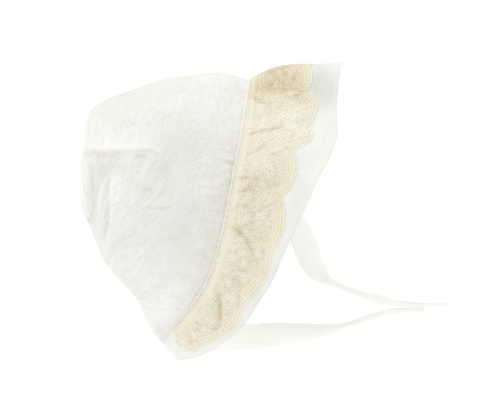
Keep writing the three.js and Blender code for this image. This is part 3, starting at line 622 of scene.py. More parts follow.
# ------------------------------------------------------------------------ crown
def make_crown():
    fine = np.linspace(-1, 1, 4001)
    line = crown_point(0.25, fine)
    length = np.concatenate([[0], np.cumsum(np.linalg.norm(np.diff(line, axis=0), axis=1))])
    middle = np.interp(0, fine, length)
    top = 120                                  # columns on the far side
    stops = np.concatenate([np.linspace(0, middle, top + 1)[:-1], np.linspace(middle, length[-1], 273)])
    v = np.interp(stops, length, fine)
    v[top] = 0.0
    run = np.linspace(0, 1, 185)[:, None] ** 1.1
    start = 0.6 / (np.linalg.norm(crown_point(0.01, v) - crown_point(0.0, v), axis=1) / 0.01)
    s = start[None] + (1 - start[None]) * run
    grid_v = np.broadcast_to(v[None], s.shape)
    base = crown_point(s, grid_v)
    out = grid_out(base)
    x, y = base[..., 0], base[..., 1]
    step = np.linalg.norm(np.diff(base, axis=0), axis=2)
    from_seam = 0.6 + np.concatenate([np.zeros((1, len(v))), np.cumsum(step, 0)])
    to_nape = from_seam[-1:] - from_seam
    across = np.linalg.norm(np.diff(base, axis=1), axis=2)
    girth = np.concatenate([np.zeros((len(s), 1)), np.cumsum(across, 1)], 1)
    girth -= girth[:, top:top + 1]
    to_hem = np.minimum(girth[:, -1:] - girth, girth - girth[:, :1])
    seam_a = np.interp(v, _v, _along)[None] + 0 * s
    near = ease((grid_v - 0.02) / 0.18)
    far = grid_v < 0
    fold, slide_x, slide_y, soil_and_shade = folds_move("crown", x, y)
    held = ease((from_seam - 1) / 9)
    # the gathered cloth swells up behind the seam, more so lower down, and puckers into it
    lower = ease((seam_a - 10) / 110)
    puff = (1.0 + 2.4 * lower) * (1 - np.exp(-(from_seam / 8.5) ** 2)) * np.exp(-from_seam / 55)
    gather = (1.0 * noise(seam_a / 2.5, from_seam / 22, 11) + 0.6 * noise(seam_a / 5.6, from_seam / 36, 12)) \
        * ease((from_seam - 0.6) / 3.2) * np.exp(-np.maximum(from_seam - 3, 0) / (8 + 4 * noise(seam_a / 9, 0 * s, 13)))
    tight = np.exp(-((seam_a - along_at(0.30, True)) / 9) ** 2)
    gather = gather * (1 + 1.5 * tight)
    # broad slack, then the short strokes of the crinkled cloth: along the gathers at the
    # top, more tangled lower down
    slack = 0.9 * noise(girth / 30, from_seam / 36, 14) + 0.45 * noise(girth / 13, from_seam / 17, 15)
    bend_g = 1.8 * noise(girth / 12, from_seam / 12, 16)
    bend_d = 1.8 * noise(girth / 12, from_seam / 12, 21)
    soft = lambda n: n + 0.5 * np.abs(n) - 0.15        # puckers a little sharper below than above
    strokes = soft(noise(girth / 1.7 + bend_g, from_seam / 4.2 + bend_d, 17))
    tangle = soft(noise((girth + 0.55 * from_seam) / 1.9 + bend_d, (from_seam - 0.55 * girth) / 3.6 + bend_g, 18))
    small = soft(noise((girth - 0.3 * from_seam) / 1.15 + bend_d, (from_seam + 0.3 * girth) / 2.2 - bend_g, 22))
    creases = lambda n: np.maximum(0, 1 - 3.6 * np.abs(n)) ** 1.2     # thin raised creases
    lines = creases(noise(girth / 2.9 + bend_d, from_seam / 6.5 + bend_g, 24))
    loops = creases(noise((girth + 0.5 * from_seam) / 3.4 + bend_g, (from_seam - 0.5 * girth) / 4.6 + bend_d, 25))
    blend = ease((girth - 40) / 45)
    patchy = 0.8 + 0.6 * noise(girth / 19, from_seam / 19, 23)
    broken = lambda seed: ease((noise(girth / 3.4, from_seam / 4.6, seed) + 0.12) / 0.45)     # creases stop and start
    short = creases(noise(girth / 2.2 - bend_d, from_seam / 5.0 - bend_g, 26))
    crinkle = 0.84 * patchy * (0.12 * strokes * (1 - 0.6 * blend) + 0.11 * tangle * (0.35 + 0.65 * blend) + 0.05 * small
                        + 0.34 * lines * broken(27) * (1 - 0.5 * blend) + 0.28 * loops * broken(28) * (0.45 + 0.55 * blend)
                        + 0.26 * short * broken(29))
    crinkle = crinkle * (1 - 0.35 * ease((girth - 75) / 40))
    drawn = 0.35 * noise(seam_a / 6, to_hem / 30, 19) * np.exp(-to_hem / 8) * ease(to_hem / 3)
    move = puff + gather + drawn + held * (slack + crinkle) + near * fold
    quiet = 0.5 + 0.5 * ease((np.abs(grid_v) - 0.03) / 0.15)
    edge = np.minimum(to_hem, to_nape)
    quiet = quiet * (0.45 + 0.55 * ease(edge / 7)) * (0.12 + 0.88 * ease((to_nape - 1) / 16))
    points = base + out * (move * quiet)[..., None]
    points[..., 0] += near * slide_x
    points[..., 1] += near * slide_y
    lying = far & (base[..., 2] < 8)
    points[..., 2] = np.maximum(points[..., 2], np.where(lying, 0.12 + 0.1 * (1 + noise(girth / 9, from_seam / 9, 20)), 0.12))
    hem = 0.16 * ease((5.2 - edge) / 0.8) - 0.1 * np.exp(-((edge - 4.7) / 0.5) ** 2)
    outer = points + out * np.where(lying, 0, hem)[..., None]
    outer[..., 2] = np.maximum(outer[..., 2], 0.1)
    inner = points - out * (CLOTH + np.maximum(hem, 0))[..., None]
    where, faces, place = shell(outer, inner)
    by_seam = lower * (1 - 0.9 * ease((seam_a - NEAR_END + 62) / 46))
    shown = ease((grid_v + 0.45) / 0.50)
    (tip_x, tip_y), = plan((160, 316))
    lighter = np.exp(-((x - tip_x) / 20) ** 2 - ((y - tip_y) / 22) ** 2)
    # painted shade on the crown: a little everywhere but the lower tip, patches by place, a touch along the lower seam,
    # and more along the top of the head and on the far side
    painted_shade = 0.15 * (1 - lighter) + shown * (painted_shade_at(PAINTED_SHADE_PATCHES, x, y) + 0.03 * by_seam * np.exp(-(from_seam / 11) ** 2)) \
        + 0.30 * np.exp(-(girth / np.where(girth < 0, 45, 9)) ** 2)
    # painted highlight along the lip of the fold
    above, along_fold, _, _ = trace(FOLDS["crown"][0]["line"], x, y)
    painted_shade = np.maximum(painted_shade - near * 0.26 * np.exp(-((above - 1.0) / 1.2) ** 2) * ease((1 - along_fold) / 0.15), 0)
    # stains, and painted shade along the seam beside the piping, stronger lower down
    soil_and_shade = soil_and_shade + soft_spots(COTTON_STAINS, x, y) + (0.14 + 0.30 * by_seam) * np.exp(-((from_seam - 0.8) / 1.7) ** 2) \
        + 0.31 * by_seam * np.exp(-(from_seam / 14) ** 2)
    cloth = np.stack([girth, from_seam, np.zeros(s.shape)], -1).reshape(-1, 3)[place]
    piece = make("crown_cotton", where, faces,
                 {"cloth": cloth, "soil_and_shade": (near * soil_and_shade).ravel()[place], "painted_shade": painted_shade.ravel()[place]})
    # line of the neck hem's stitches on the near side, and on round the nape
    hem_line, hem_out = [], []
    for i in range(6, len(s)):
        if to_nape[i, -1] < 4.7:
            break
        at = girth[i, -1] - 4.7
        hem_line.append([np.interp(at, girth[i], outer[i, :, k]) for k in range(3)])
        hem_out.append([np.interp(at, girth[i], out[i, :, k]) for k in range(3)])
    nape_line, nape_out = [], []
    for j in range(top + 6, len(v)):
        if girth[-1, -1] - girth[-1, j] < 4.7:
            break
        at = from_seam[-1, j] - 4.7
        nape_line.append([np.interp(at, from_seam[:, j], outer[:, j, k]) for k in range(3)])
        nape_out.append([np.interp(at, from_seam[:, j], out[:, j, k]) for k in range(3)])
    hems = [(np.array(line), np.array(away)) for line, away in ((hem_line, hem_out), (nape_line, nape_out)) if len(line) > 4]
    return piece, points[0], out[0], np.interp(v, _v, _along), hems


# ----------------------------------------------------------------------- piping
def make_piping(crown_rim, crown_out, crown_a, brim_rim, brim_out, brim_a):
    a = np.linspace(FAR_END, NEAR_END, 761)
    read = lambda values, at: np.stack([np.interp(a, at, values[:, k]) for k in range(3)], 1)
    middle = (read(crown_rim, crown_a) + read(brim_rim, brim_a)) / 2
    out = unit(read(crown_out, crown_a) + read(brim_out, brim_a))
    kernel = np.ones(9) / 9
    smooth = lambda g: np.stack([np.convolve(np.pad(g[:, k], 4, mode="edge"), kernel, "valid") for k in range(3)], 1)
    centre = smooth(middle) + out * (PIPING_PROUD - CLOTH / 2)
    centre += out * (0.12 * noise(a / 7, 0 * a, 31))[:, None]
    centre[:, 2] = np.maximum(centre[:, 2], PIPING_R + 0.2)
    run = unit(np.gradient(centre, axis=0))
    side = unit(np.cross(run, out))
    up = np.cross(side, run)
    # two plies, loosely twisted round each other
    twist = 2 * math.pi * a / 9.0 + 1.1 * noise(a / 8, 0 * a, 32)
    turn = np.linspace(0, 2 * math.pi, 13)[:-1]
    points, faces, cloth, soil_and_shade, count = [], [], [], [], 0
    for ply in (0, math.pi):
        lean_side, lean_up = np.cos(twist + ply), np.sin(twist + ply)
        middle = centre + PLY_OFF * (lean_side[:, None] * side + lean_up[:, None] * up)
        radius = PLY_R * (1 + 0.07 * noise(a / 2.2, 0 * a + ply, 33))[:, None]
        rings = middle[:, None] + radius[..., None] * (np.cos(turn)[None, :, None] * side[:, None] + np.sin(turn)[None, :, None] * up[:, None])
        rings[..., 2] = np.maximum(rings[..., 2], 0.1)
        n, m = rings.shape[:2]
        index = np.arange(n * m).reshape(n, m) + count
        following = np.roll(index, -1, 1)
        faces.append(np.stack([index[:-1], following[:-1], following[1:], index[1:]], -1).reshape(-1, 4))
        faces.append(np.stack([np.full(m, count + n * m), following[0], index[0]], -1))
        faces.append(np.stack([np.full(m, count + n * m + 1), index[-1], following[-1]], -1))
        ends = np.array([rings[0].mean(0) - run[0] * 0.3, rings[-1].mean(0) + run[-1] * 0.3])
        points += [rings.reshape(-1, 3), ends]
        here = np.stack([np.broadcast_to(a[:, None], (n, m)), np.broadcast_to(turn * PLY_R, (n, m)), np.zeros((n, m))], -1).reshape(-1, 3)
        cloth += [here, here[:1], here[-1:]]
        # painted shade where the two plies touch, and a dark painted shadow at the top of the head
        touch = -(np.cos(turn)[None] * lean_side[:, None] + np.sin(turn)[None] * lean_up[:, None])
        toned = 0.16 * ease((touch - 0.1) / 0.7) + (0.9 * np.exp(-((a - 1.0) / 1.5) ** 2) + 0.12 * np.exp(-(a / 16) ** 2))[:, None]
        soil_and_shade += [toned.ravel(), np.zeros(2)]
        count += n * m + 2
    soil_and_shade = np.concatenate(soil_and_shade)
    return make("piping_cord", np.concatenate(points), faces, {"cloth": np.concatenate(cloth), "soil_and_shade": soil_and_shade, "painted_shade": 0 * soil_and_shade})


def make_stitches(name, rows, pitch=2.4, length=1.7, radius=0.17):
    """rows of short stitches: each dips into the cloth at both ends"""
    points, faces, count = [], [], 0
    turn = np.linspace(0, 2 * math.pi, 7)[:-1]
    rise = np.array([-0.25, 0.06, 0.13, 0.06, -0.25])
    for line, away in rows:
        gone = np.concatenate([[0], np.cumsum(np.linalg.norm(np.diff(line, axis=0), axis=1))])
        for start in np.arange(1.5, gone[-1] - pitch, pitch):
            at = start + length * np.linspace(0, 1, 5)
            spot = np.stack([np.interp(at, gone, line[:, k]) for k in range(3)], 1)
            out = unit(np.stack([np.interp(at, gone, away[:, k]) for k in range(3)], 1))
            path = spot + out * rise[:, None]
            run = unit(np.gradient(path, axis=0))
            side = unit(np.cross(run, out))
            up = np.cross(side, run)
            rings = path[:, None] + radius * (np.cos(turn)[None, :, None] * side[:, None] + np.sin(turn)[None, :, None] * up[:, None])
            index = np.arange(30).reshape(5, 6) + count
            following = np.roll(index, -1, 1)
            faces.append(np.stack([index[:-1], following[:-1], following[1:], index[1:]], -1).reshape(-1, 4))
            faces.append(np.stack([np.full(6, count + 30), following[0], index[0]], -1))
            faces.append(np.stack([np.full(6, count + 31), index[-1], following[-1]], -1))
            points += [rings.reshape(-1, 3), path[:1], path[-1:]]
            count += 32
    points = np.concatenate(points)
    return make(name, points, faces, {"cloth": points, "soil_and_shade": np.zeros(count), "painted_shade": np.zeros(count)})


# ------------------------------------------------------------------------- lace
# lace is drawn on a flat plane: a mm along the seam, b mm out from its inner edge, h mm
# above the brim's cloth, and then laid on the brim
FAR_LACE, NEAR_LACE = along_at(LACE_REACH, False), along_at(LACE_REACH, True)
FOOT = 5.8                  # width of the plain strip next to the seam
PITCH = 1.9                 # of the net's holes
END_SLANT = 6.0


def slanted(a, b):
    """the near end of the lace is cut on a slant"""
    return a - END_SLANT * ease((a - NEAR_LACE + 28) / 28) * np.clip(1 - b / np.maximum(edge_of(a), 1), 0, 1)


def lay(points):
    a, b = slanted(points[:, 0], points[:, 1]), points[:, 1]
    h = points[:, 2] * (0.40 + 0.60 * ease((edge_of(points[:, 0]) - b) / 6))      # thinner towards its edge
    w = (LACE_INNER + b) / width_at(a)
    return read_field(FIELD_P, a, w) + read_field(FIELD_N, a, w) * h[:, None]


def lace_toning(points):
    a = slanted(points[:, 0], points[:, 1])
    w = (LACE_INNER + points[:, 1]) / width_at(a)
    return {"soil_and_shade": read_field(FIELD_STAIN, a, w), "fold": read_field(FIELD_CREASE_SOIL_AND_SHADE, a, w), "painted_light": read_field(FIELD_PAINTED_LIGHT, a, w)}


def lace_edge(a):
    """outer edge of the lace, rounded off at its two ends"""
    wide = lace_width(v_at(a)) * width_at(a) - LACE_INNER
    room = np.minimum(NEAR_LACE - a, a - FAR_LACE)
    into = np.clip(1 - room / 7, 0, 1)
    return wide * np.maximum((1 - into ** 3) ** (1 / 3), 0.4)


def from_edge(places):
    """distance of places on the lace plane from its outer edge, and where along the edge that is"""
    a = np.linspace(FAR_LACE, NEAR_LACE, 1400)
    line = np.column_stack([a, lace_edge(a)])
    best, foot = np.full(len(places), 1e9), np.zeros(len(places))
    for part in np.array_split(line, 14):
        gap = np.hypot(places[:, :1] - part[None, :, 0], places[:, 1:2] - part[None, :, 1])
        first = gap.argmin(1)
        gap = gap[np.arange(len(places)), first]
        foot = np.where(gap < best, part[first, 0], foot)
        best = np.minimum(best, gap)
    return best, foot


class Threads:
    """closed tubes on the lace plane, gathered for one mesh"""

    def __init__(self):
        self.points, self.faces, self.tints, self.count = [], [], [], 0

    def add(self, points, faces, tint):
        self.points.append(points)
        self.faces += [np.asarray(f) + self.count for f in faces]
        self.tints.append(np.broadcast_to(tint, len(points)))
        self.count += len(points)

    def tube(self, path, radius, sides=6, tint=0.5, flat=0.8):
        path = np.asarray(path, float)
        run = unit(np.gradient(path, axis=0))
        side = unit(np.cross(run, np.array([0.0, 0.0, 1.0])))
        up = np.cross(side, run)
        turn = np.linspace(0, 2 * math.pi, sides + 1)[:-1]
        radius = np.broadcast_to(radius, len(path))[:, None, None]
        rings = path[:, None] + radius * (np.cos(turn)[None, :, None] * side[:, None] + flat * np.sin(turn)[None, :, None] * up[:, None])
        n, m = rings.shape[:2]
        index = np.arange(n * m).reshape(n, m)
        following = np.roll(index, -1, 1)
        quads = np.stack([index[:-1], following[:-1], following[1:], index[1:]], -1).reshape(-1, 4)
        caps = [np.stack([np.full(m, n * m), following[0], index[0]], -1), np.stack([np.full(m, n * m + 1), index[-1], following[-1]], -1)]
        tint = np.broadcast_to(tint, n)
        self.add(np.concatenate([rings.reshape(-1, 3), path[:1], path[-1:]]), [quads, *caps], np.concatenate([np.repeat(tint, m), tint[:1], tint[-1:]]))

    def patch(self, top, base, tint):
        points, faces, _ = shell(top, base, rim=1)
        self.add(points, faces, tint)


def scallops():
    """ends of each scallop along the lace"""
    shares = NOTCHES["share"][1:]
    near = [along_at(min(s, 1.0), True) for s in shares]
    far = [along_at(min(s, 1.0), False) for s in shares]
    stops = far[::-1] + near
    return [(p, q) for p, q in zip(stops[:-1], stops[1:])]


ROWS = ((0.62, 0.60, 0.78), (2.55, 0.58, 0.55), (4.50, 0.56, 0.50), (6.45, 0.52, 0.46))   # of each scallop: gap from the edge, radius, tint


def make_lace():
    spans = [(p, q) for p, q in scallops() if q > FAR_LACE and p < NEAR_LACE]

    # ground: a thin closed sheet with the outline of the lace
    a = np.linspace(FAR_LACE, NEAR_LACE, 701)
    q = np.linspace(1, 0, 25)[:, None]
    grid_a = np.broadcast_to(a[None], (25, 701))
    grid_b = q * (lace_edge(a) - 0.2)[None]
    flat = np.stack([grid_a, grid_b], -1).reshape(-1, 2)
    top, base = (lay(np.column_stack([flat, np.full(len(flat), h)])).reshape(25, 701, 3) for h in (0.42, 0.08))
    where, faces, place = shell(top, base, rim=1)
    sheet = np.column_stack([flat, np.zeros(len(flat))])
    toning = lace_toning(sheet)
    upper, lower = along_at(0.26, True), along_at(0.95, True)
    toning["soil_and_shade"] = toning["soil_and_shade"] + 0.05 * ease((sheet[:, 0] - upper) / 16) * ease((lower - sheet[:, 0]) / 16) * ease((sheet[:, 1] - FOOT) / 2)
    ground = make("lace_ground", where, faces, {"cloth": sheet[place], **{field: values[place] for field, values in toning.items()}})

    # net of rings: hexagonal cells, each with a round hole
    rows_b = PITCH * math.sqrt(3) / 2
    cells = []
    for row in range(int(60 / rows_b)):
        column = np.arange(int((NEAR_LACE - FAR_LACE) / PITCH) + 1)
        cells.append(np.column_stack([FAR_LACE + (column + 0.5 * (row % 2)) * PITCH, np.full(len(column), FOOT + 1.5 + row * rows_b),
                                      np.full(len(column), row), column]))
    cells = np.concatenate(cells)
    room = np.minimum(NEAR_LACE - cells[:, 0], cells[:, 0] - FAR_LACE)
    cells = cells[(cells[:, 1] < edge_of(cells[:, 0]) - 2.4) & (room > 2.2)]
    gap, foot_a = from_edge(cells[:, :2])
    notches = np.array([q for _, q in spans])
    below_notch = np.abs(foot_a[:, None] - notches[None]).min(1) < 0.9
    middle_of = np.array([(p + q) / 2 for p, q in spans])
    half_of = np.array([(q - p) / 2 for p, q in spans])
    own = np.abs(cells[:, :1] - middle_of[None]).argmin(1)
    aside = np.abs(cells[:, 0] - middle_of[own]) / half_of[own]
    low, tip = (along_at(share, True) for share in NOTCHES["share"][-3:-1])      # the last two scallops have fewer rows
    keep = gap > np.where(below_notch, 2.6, np.where(foot_a > tip, 4.0, np.where(foot_a > low, 5.9, 7.9)))
    cells, gap, aside = cells[keep], gap[keep], aside[keep]
    big = ease(1 - np.hypot(aside / 0.6, (gap - 13) / 8))
    centre = cells[:, :2]
    turn6 = np.arange(6) * math.pi / 3 + math.pi / 6
    turn12 = np.arange(12) * math.pi / 6 + math.pi / 6
    corner = centre[:, None] + PITCH / math.sqrt(3) * np.stack([np.cos(turn6), np.sin(turn6)], -1)[None]
    key = np.round(corner.reshape(-1, 2) * 200).astype(np.int64)
    unique, inverse = np.unique(key, axis=0, return_inverse=True)
    inverse = np.asarray(inverse).reshape(-1, 6)
    joints = np.zeros((len(unique), 2))
    joints[inverse.ravel()] = corner.reshape(-1, 2)
    wander = lambda p, seed: np.stack([noise(p[..., 0] / 5.0, p[..., 1] / 5.0, seed), noise(p[..., 0] / 5.0, p[..., 1] / 5.0, seed + 1)], -1)
    wobble = lambda p: p + 0.62 * wander(p, 41)
    vary = hashed(cells[:, 2].astype(np.int64), cells[:, 3].astype(np.int64), 43)
    patch = np.clip(0.55 + 0.9 * noise(centre[:, 0] / 11, centre[:, 1] / 9, 44), 0, 1)      # open here, closed up there
    upper, lower = along_at(0.26, True), along_at(0.95, True)
    bold = ease((centre[:, 0] - upper) / 16) * ease((lower - centre[:, 0]) / 16)            # more open along the cheek
    hole = np.clip((0.54 + 0.17 * vary + 0.04 * big + 0.08 * bold) * (0.52 + 0.58 * patch), 0.18, 0.70)
    count = len(cells)
    middle = wobble(centre)[:, None]
    ring = lambda r: middle + r[:, None, None] * np.stack([np.cos(turn12), np.sin(turn12)], -1)[None]
    crest = np.concatenate([ring(hole + 0.14), np.full((count, 12, 1), 0.66) + 0.10 * vary[:, None, None] + 0.08 * bold[:, None, None]], -1).reshape(-1, 3)
    foot = np.concatenate([ring(hole), np.full((count, 12, 1), 0.44)], -1).reshape(-1, 3)
    joint_top = np.column_stack([wobble(joints), np.full(len(joints), 0.55)])
    joint_base = np.column_stack([wobble(joints), np.full(len(joints), 0.44)])
    net = np.concatenate([crest, foot, joint_top, joint_base])
    at_crest = np.arange(count * 12).reshape(count, 12)
    at_foot = at_crest + count * 12
    at_top = inverse + count * 24
    at_base = at_top + len(joints)
    net_faces = [np.stack([at_crest, at_foot, np.roll(at_foot, -1, 1), np.roll(at_crest, -1, 1)], -1).reshape(-1, 4)[:, ::-1]]
    for k in range(6):
        c0, c1 = k, (k + 1) % 6
        r0, r1, r2 = 2 * k, 2 * k + 1, (2 * k + 2) % 12
        for corners, ring_at, flip in ((at_top, at_crest, False), (at_base, at_foot, True)):
            for tri in ((corners[:, c0], corners[:, c1], ring_at[:, r1]), (corners[:, c0], ring_at[:, r1], ring_at[:, r0]),
                        (corners[:, c1], ring_at[:, r2], ring_at[:, r1])):
                net_faces.append(np.stack(tri[::-1] if flip else tri, -1))
    sides = np.stack([inverse, np.roll(inverse, -1, 1)], -1).reshape(-1, 2)
    _, first, times = np.unique(np.sort(sides, 1), axis=0, return_index=True, return_counts=True)
    open_side = sides[first[times == 1]] + count * 24
    net_faces.append(np.column_stack([open_side[:, 1], open_side[:, 0], open_side[:, 0] + len(joints), open_side[:, 1] + len(joints)]))
    own = np.clip(0.55 + 0.45 * vary, 0, 1)                      # no two cells quite alike
    # painted light on the ring crests, painted shade down into the holes
    tint = np.concatenate([np.repeat(0.15 + 0.85 * own + 0.25 * bold, 12), np.repeat((0.05 + 0.3 * own) * (1 - bold), 12), np.full(2 * len(joints), 0.45)])
    netting = make("lace_net", lay(net), net_faces, {"cloth": net, "tint": tint, **lace_toning(net)})

    # threads: rows of arcs in each scallop with short ties between them, a leaf at each
    # notch, and the bars of the plain strip
    threads = Threads()
    for p, q_end in spans:
        p, q_end = max(p, FAR_LACE + 0.6), min(q_end, NEAR_LACE - 0.6)
        line_a = np.linspace(p, q_end, 101)
        line = np.column_stack([line_a, lace_edge(line_a)])
        run = unit(np.gradient(line, axis=0))
        inward = np.column_stack([run[:, 1], -run[:, 0]])
        inward *= np.where(inward[:, 1:] > 0, -1, 1)
        length = np.concatenate([[0], np.cumsum(np.hypot(*np.diff(line, axis=0).T))])
        for order, (gap_in, radius, tint) in enumerate(ROWS):
            if order > (1 if p > tip - 1 else 2 if p > low - 1 else 3):
                continue
            scallop_out = 0.45 * np.abs(np.sin(math.pi * length / 2.2)) if order == 0 else 0.30 * noise(length / 2.4 + p, 0 * length + order, 64)
            path = line + inward * (gap_in - scallop_out)[:, None]
            keep = (path[:, 0] >= p - 0.2) & (path[:, 0] <= q_end + 0.2) & (path[:, 1] > FOOT + 0.6)
            if keep.sum() > 4:
                at = length[keep]
                knot = np.sin(2 * math.pi * at / 1.9 + gap_in + 1.6 * noise(at / 3.1, 0 * at + order + p, 65))
                worn = noise(at / 4.5, 0 * at + order + p, 66)                 # beads, fainter here and there
                threads.tube(np.column_stack([path[keep], 0.46 + 0.05 * knot]), radius * (1 + 0.20 * knot + 0.12 * worn), 6,
                             np.clip(tint + 0.22 * knot + 0.25 * worn, 0, 1), 0.5)
        for order, pitch in ((0, 2.7), (1, 3.1), (2, 3.4)):
            if order > (0 if p > tip - 1 else 1 if p > low - 1 else 2):
                continue
            g0, g1 = ROWS[order][0] + 0.2, ROWS[order + 1][0] - 0.1
            places = np.arange(0.9 + 0.3 * order, length[-1] - 0.4, pitch)
            places = places + 0.7 * noise(places / 1.7 + p, 0 * places + order, 63)
            spot = np.column_stack([np.interp(places, length, line[:, k]) for k in (0, 1)])
            lean = unit(np.column_stack([np.interp(places, length, inward[:, k]) for k in (0, 1)]))
            for place_on, way in zip(spot, lean):
                ends = [place_on + way * g for g in (g0, (g0 + g1) / 2, g1)]
                if min(e[1] for e in ends) < FOOT + 0.6 or not p <= ends[2][0] <= q_end:
                    continue
                threads.tube([[*e, h] for e, h in zip(ends, (0.46, 0.52, 0.46))], 0.42 - 0.03 * order, 5, 0.5, 0.6)
        # a leaf hangs in from the notch
        notch = min(max(q_end, FAR_LACE), NEAR_LACE)
        for side, size, drop_in in ((0.0, 1.0, 9.0),):
            la, lb = q_end + side * 3.9, float(lace_edge(np.array([notch]))[0]) - drop_in
            if not FAR_LACE + 6 < la < NEAR_LACE - 6 or lb < FOOT + 3:
                continue
            t, c = np.meshgrid(np.linspace(0.97, -0.97, 21), np.linspace(-1, 1, 9), indexing="ij")
            wide, long = 2.1 * size * np.maximum(1 - t * t, 0) ** 0.75, 4.2 * size
            tilt = 0.55 * side
            ta, tb = wide * c, long * t
            rise = 0.12 * np.sqrt(np.maximum(1 - c * c, 0)) * np.maximum(1 - t * t, 0) ** 0.4
            rise += 0.03 * np.sin(2 * math.pi * (tb + 0.5 * np.abs(ta)) / 0.8) - 0.10 * np.exp(-(ta / 0.28) ** 2) * (1 - t * t)
            pa, pb = la + ta * math.cos(tilt) + tb * math.sin(tilt), lb + tb * math.cos(tilt) - ta * math.sin(tilt)
            threads.patch(np.stack([pa, pb, 0.58 + rise], -1), np.stack([pa, pb, np.full(pa.shape, 0.42)], -1), 0.12)
    line_a = np.linspace(FAR_LACE + 0.5, NEAR_LACE - 0.5, 801)
    for b, radius, tint in ((0.5, 0.36, 0.75), (FOOT - 0.25, 0.32, 0.60), (FOOT + 0.85, 0.26, 0.50)):
        inside = lace_edge(line_a) > b + 0.8
        threads.tube(np.column_stack([line_a, np.full(801, b), 0.46 + 0.06 * np.sin(2 * math.pi * line_a / 1.6 + b)])[inside], radius, 6, tint)
    for k, bar in enumerate(np.arange(FAR_LACE + 1.2, NEAR_LACE - 1.0, 1.1)):
        threads.tube([[bar, 0.7, 0.34], [bar + 0.12 * math.sin(3.1 * k), FOOT / 2, 0.38], [bar, FOOT - 0.5, 0.34]], 0.40, 5, 0.74, 0.5)
    for end in (FAR_LACE + 0.5, NEAR_LACE - 0.5):
        reach = float(lace_edge(np.array([end]))[0])
        threads.tube([[end, b, 0.52] for b in np.linspace(0.3, reach - 0.3, 9)], 0.30, 6, 0.45)
    flat = np.concatenate(threads.points)
    cords = make("lace_cords", lay(flat), threads.faces, {"cloth": flat, "tint": np.concatenate(threads.tints), **lace_toning(flat)})
    return ground, netting, cords


def edge_of(a):
    return lace_edge(np.clip(a, FAR_LACE, NEAR_LACE))


# ------------------------------------------------------------------------- ties
def make_tie(name, rows, seed, lean):
    """a ribbon along its route, flat at first and then curled up along its length"""
    along = route(rows)
    t = np.linspace(0, 1, 331)
    turns = np.maximum(between({"at": t, "turns": along(t, "turns")}, "at", "turns", t), 0.012)
    pitch = 0.42                                  # between two layers of a curl
    inside = (RIBBON - pitch * math.pi * turns ** 2) / (2 * math.pi * turns)
    share = np.linspace(0, 1, 33)
    # angle along the curl for an even spacing over the ribbon's width
    length = share[None] * RIBBON
    angle = (-inside[:, None] + np.sqrt(inside[:, None] ** 2 + pitch / math.pi * length)) / (pitch / (2 * math.pi))
    radius = inside[:, None] + pitch * angle / (2 * math.pi)
    middle_angle = angle[:, 16:17]
    around = angle - middle_angle + lean * np.minimum(turns, 1)[:, None]
    off_side, off_up = radius * np.sin(around), radius * np.cos(around)
    squeeze = 1 - (0.12 * np.minimum(turns, 1) + 0.34 * np.exp(-((turns - 0.6) / 0.45) ** 2))[:, None]      # limp where half rolled
    off_up = off_up * squeeze
    off_side = off_side - (off_side.max(1) + off_side.min(1))[:, None] / 2
    low, high = off_up.min(1), off_up.max(1)
    tall = high - low
    off_up = off_up - low[:, None]
    roll = np.radians(along(t, "roll"))
    lift = RIBBON / 2 * np.abs(np.sin(roll)) + 0.3 + np.maximum(along(t, "under"), 0)
    base_z = np.maximum(along(t, "hang"), lift)
    base_z = np.maximum(np.convolve(np.pad(base_z, 9, mode="edge"), np.hanning(21)[1:-1] / np.hanning(21).sum(), "valid"), lift)
    centre = np.column_stack([along(t, "x"), along(t, "y"), base_z])
    run = unit(np.gradient(centre, axis=0))
    flat = unit(np.column_stack([run[:, 1], -run[:, 0], np.zeros(len(t))]))
    up = np.cross(flat, run)
    side = flat * np.cos(roll)[:, None] + up * np.sin(roll)[:, None]
    face = up * np.cos(roll)[:, None] - flat * np.sin(roll)[:, None]
    ripple = 0.22 * noise(t[:, None] * 14, share[None] * 1.6, seed) * (1 - np.minimum(turns, 1))[:, None]
    selvedge = 0.10 * np.exp(-np.minimum(share, 1 - share) * RIBBON / 0.5)[None]
    sheet = centre[:, None] + off_side[..., None] * side[:, None] + (off_up + ripple)[..., None] * face[:, None]
    sheet = sheet[:, ::-1]
    normal = grid_out(sheet)
    wall = (RIBBON_WALL / 2 + selvedge)[..., None]
    where, faces, place = shell(sheet + normal * wall, sheet - normal * wall, rim=1)
    where[:, 2] = np.maximum(where[:, 2], 0.05)
    cloth = np.stack([np.broadcast_to(share[None, ::-1] * RIBBON, turns.shape + share.shape),
                      np.broadcast_to(t[:, None] * 180, turns.shape + share.shape), np.zeros(turns.shape + share.shape)], -1)
    curled = np.broadcast_to(ease((turns - 0.18) / 0.38)[:, None], cloth.shape[:2])
    tie = make(name, where, faces, {"cloth": cloth.reshape(-1, 3)[place], "curled": curled.reshape(-1)[place],
                                    "soil_and_shade": soft_spots(RIBBON_STAINS, where[:, 0], where[:, 1])})
    line = centre + face * (tall / 2)[:, None]
    return tie, line[::10] * 0.001


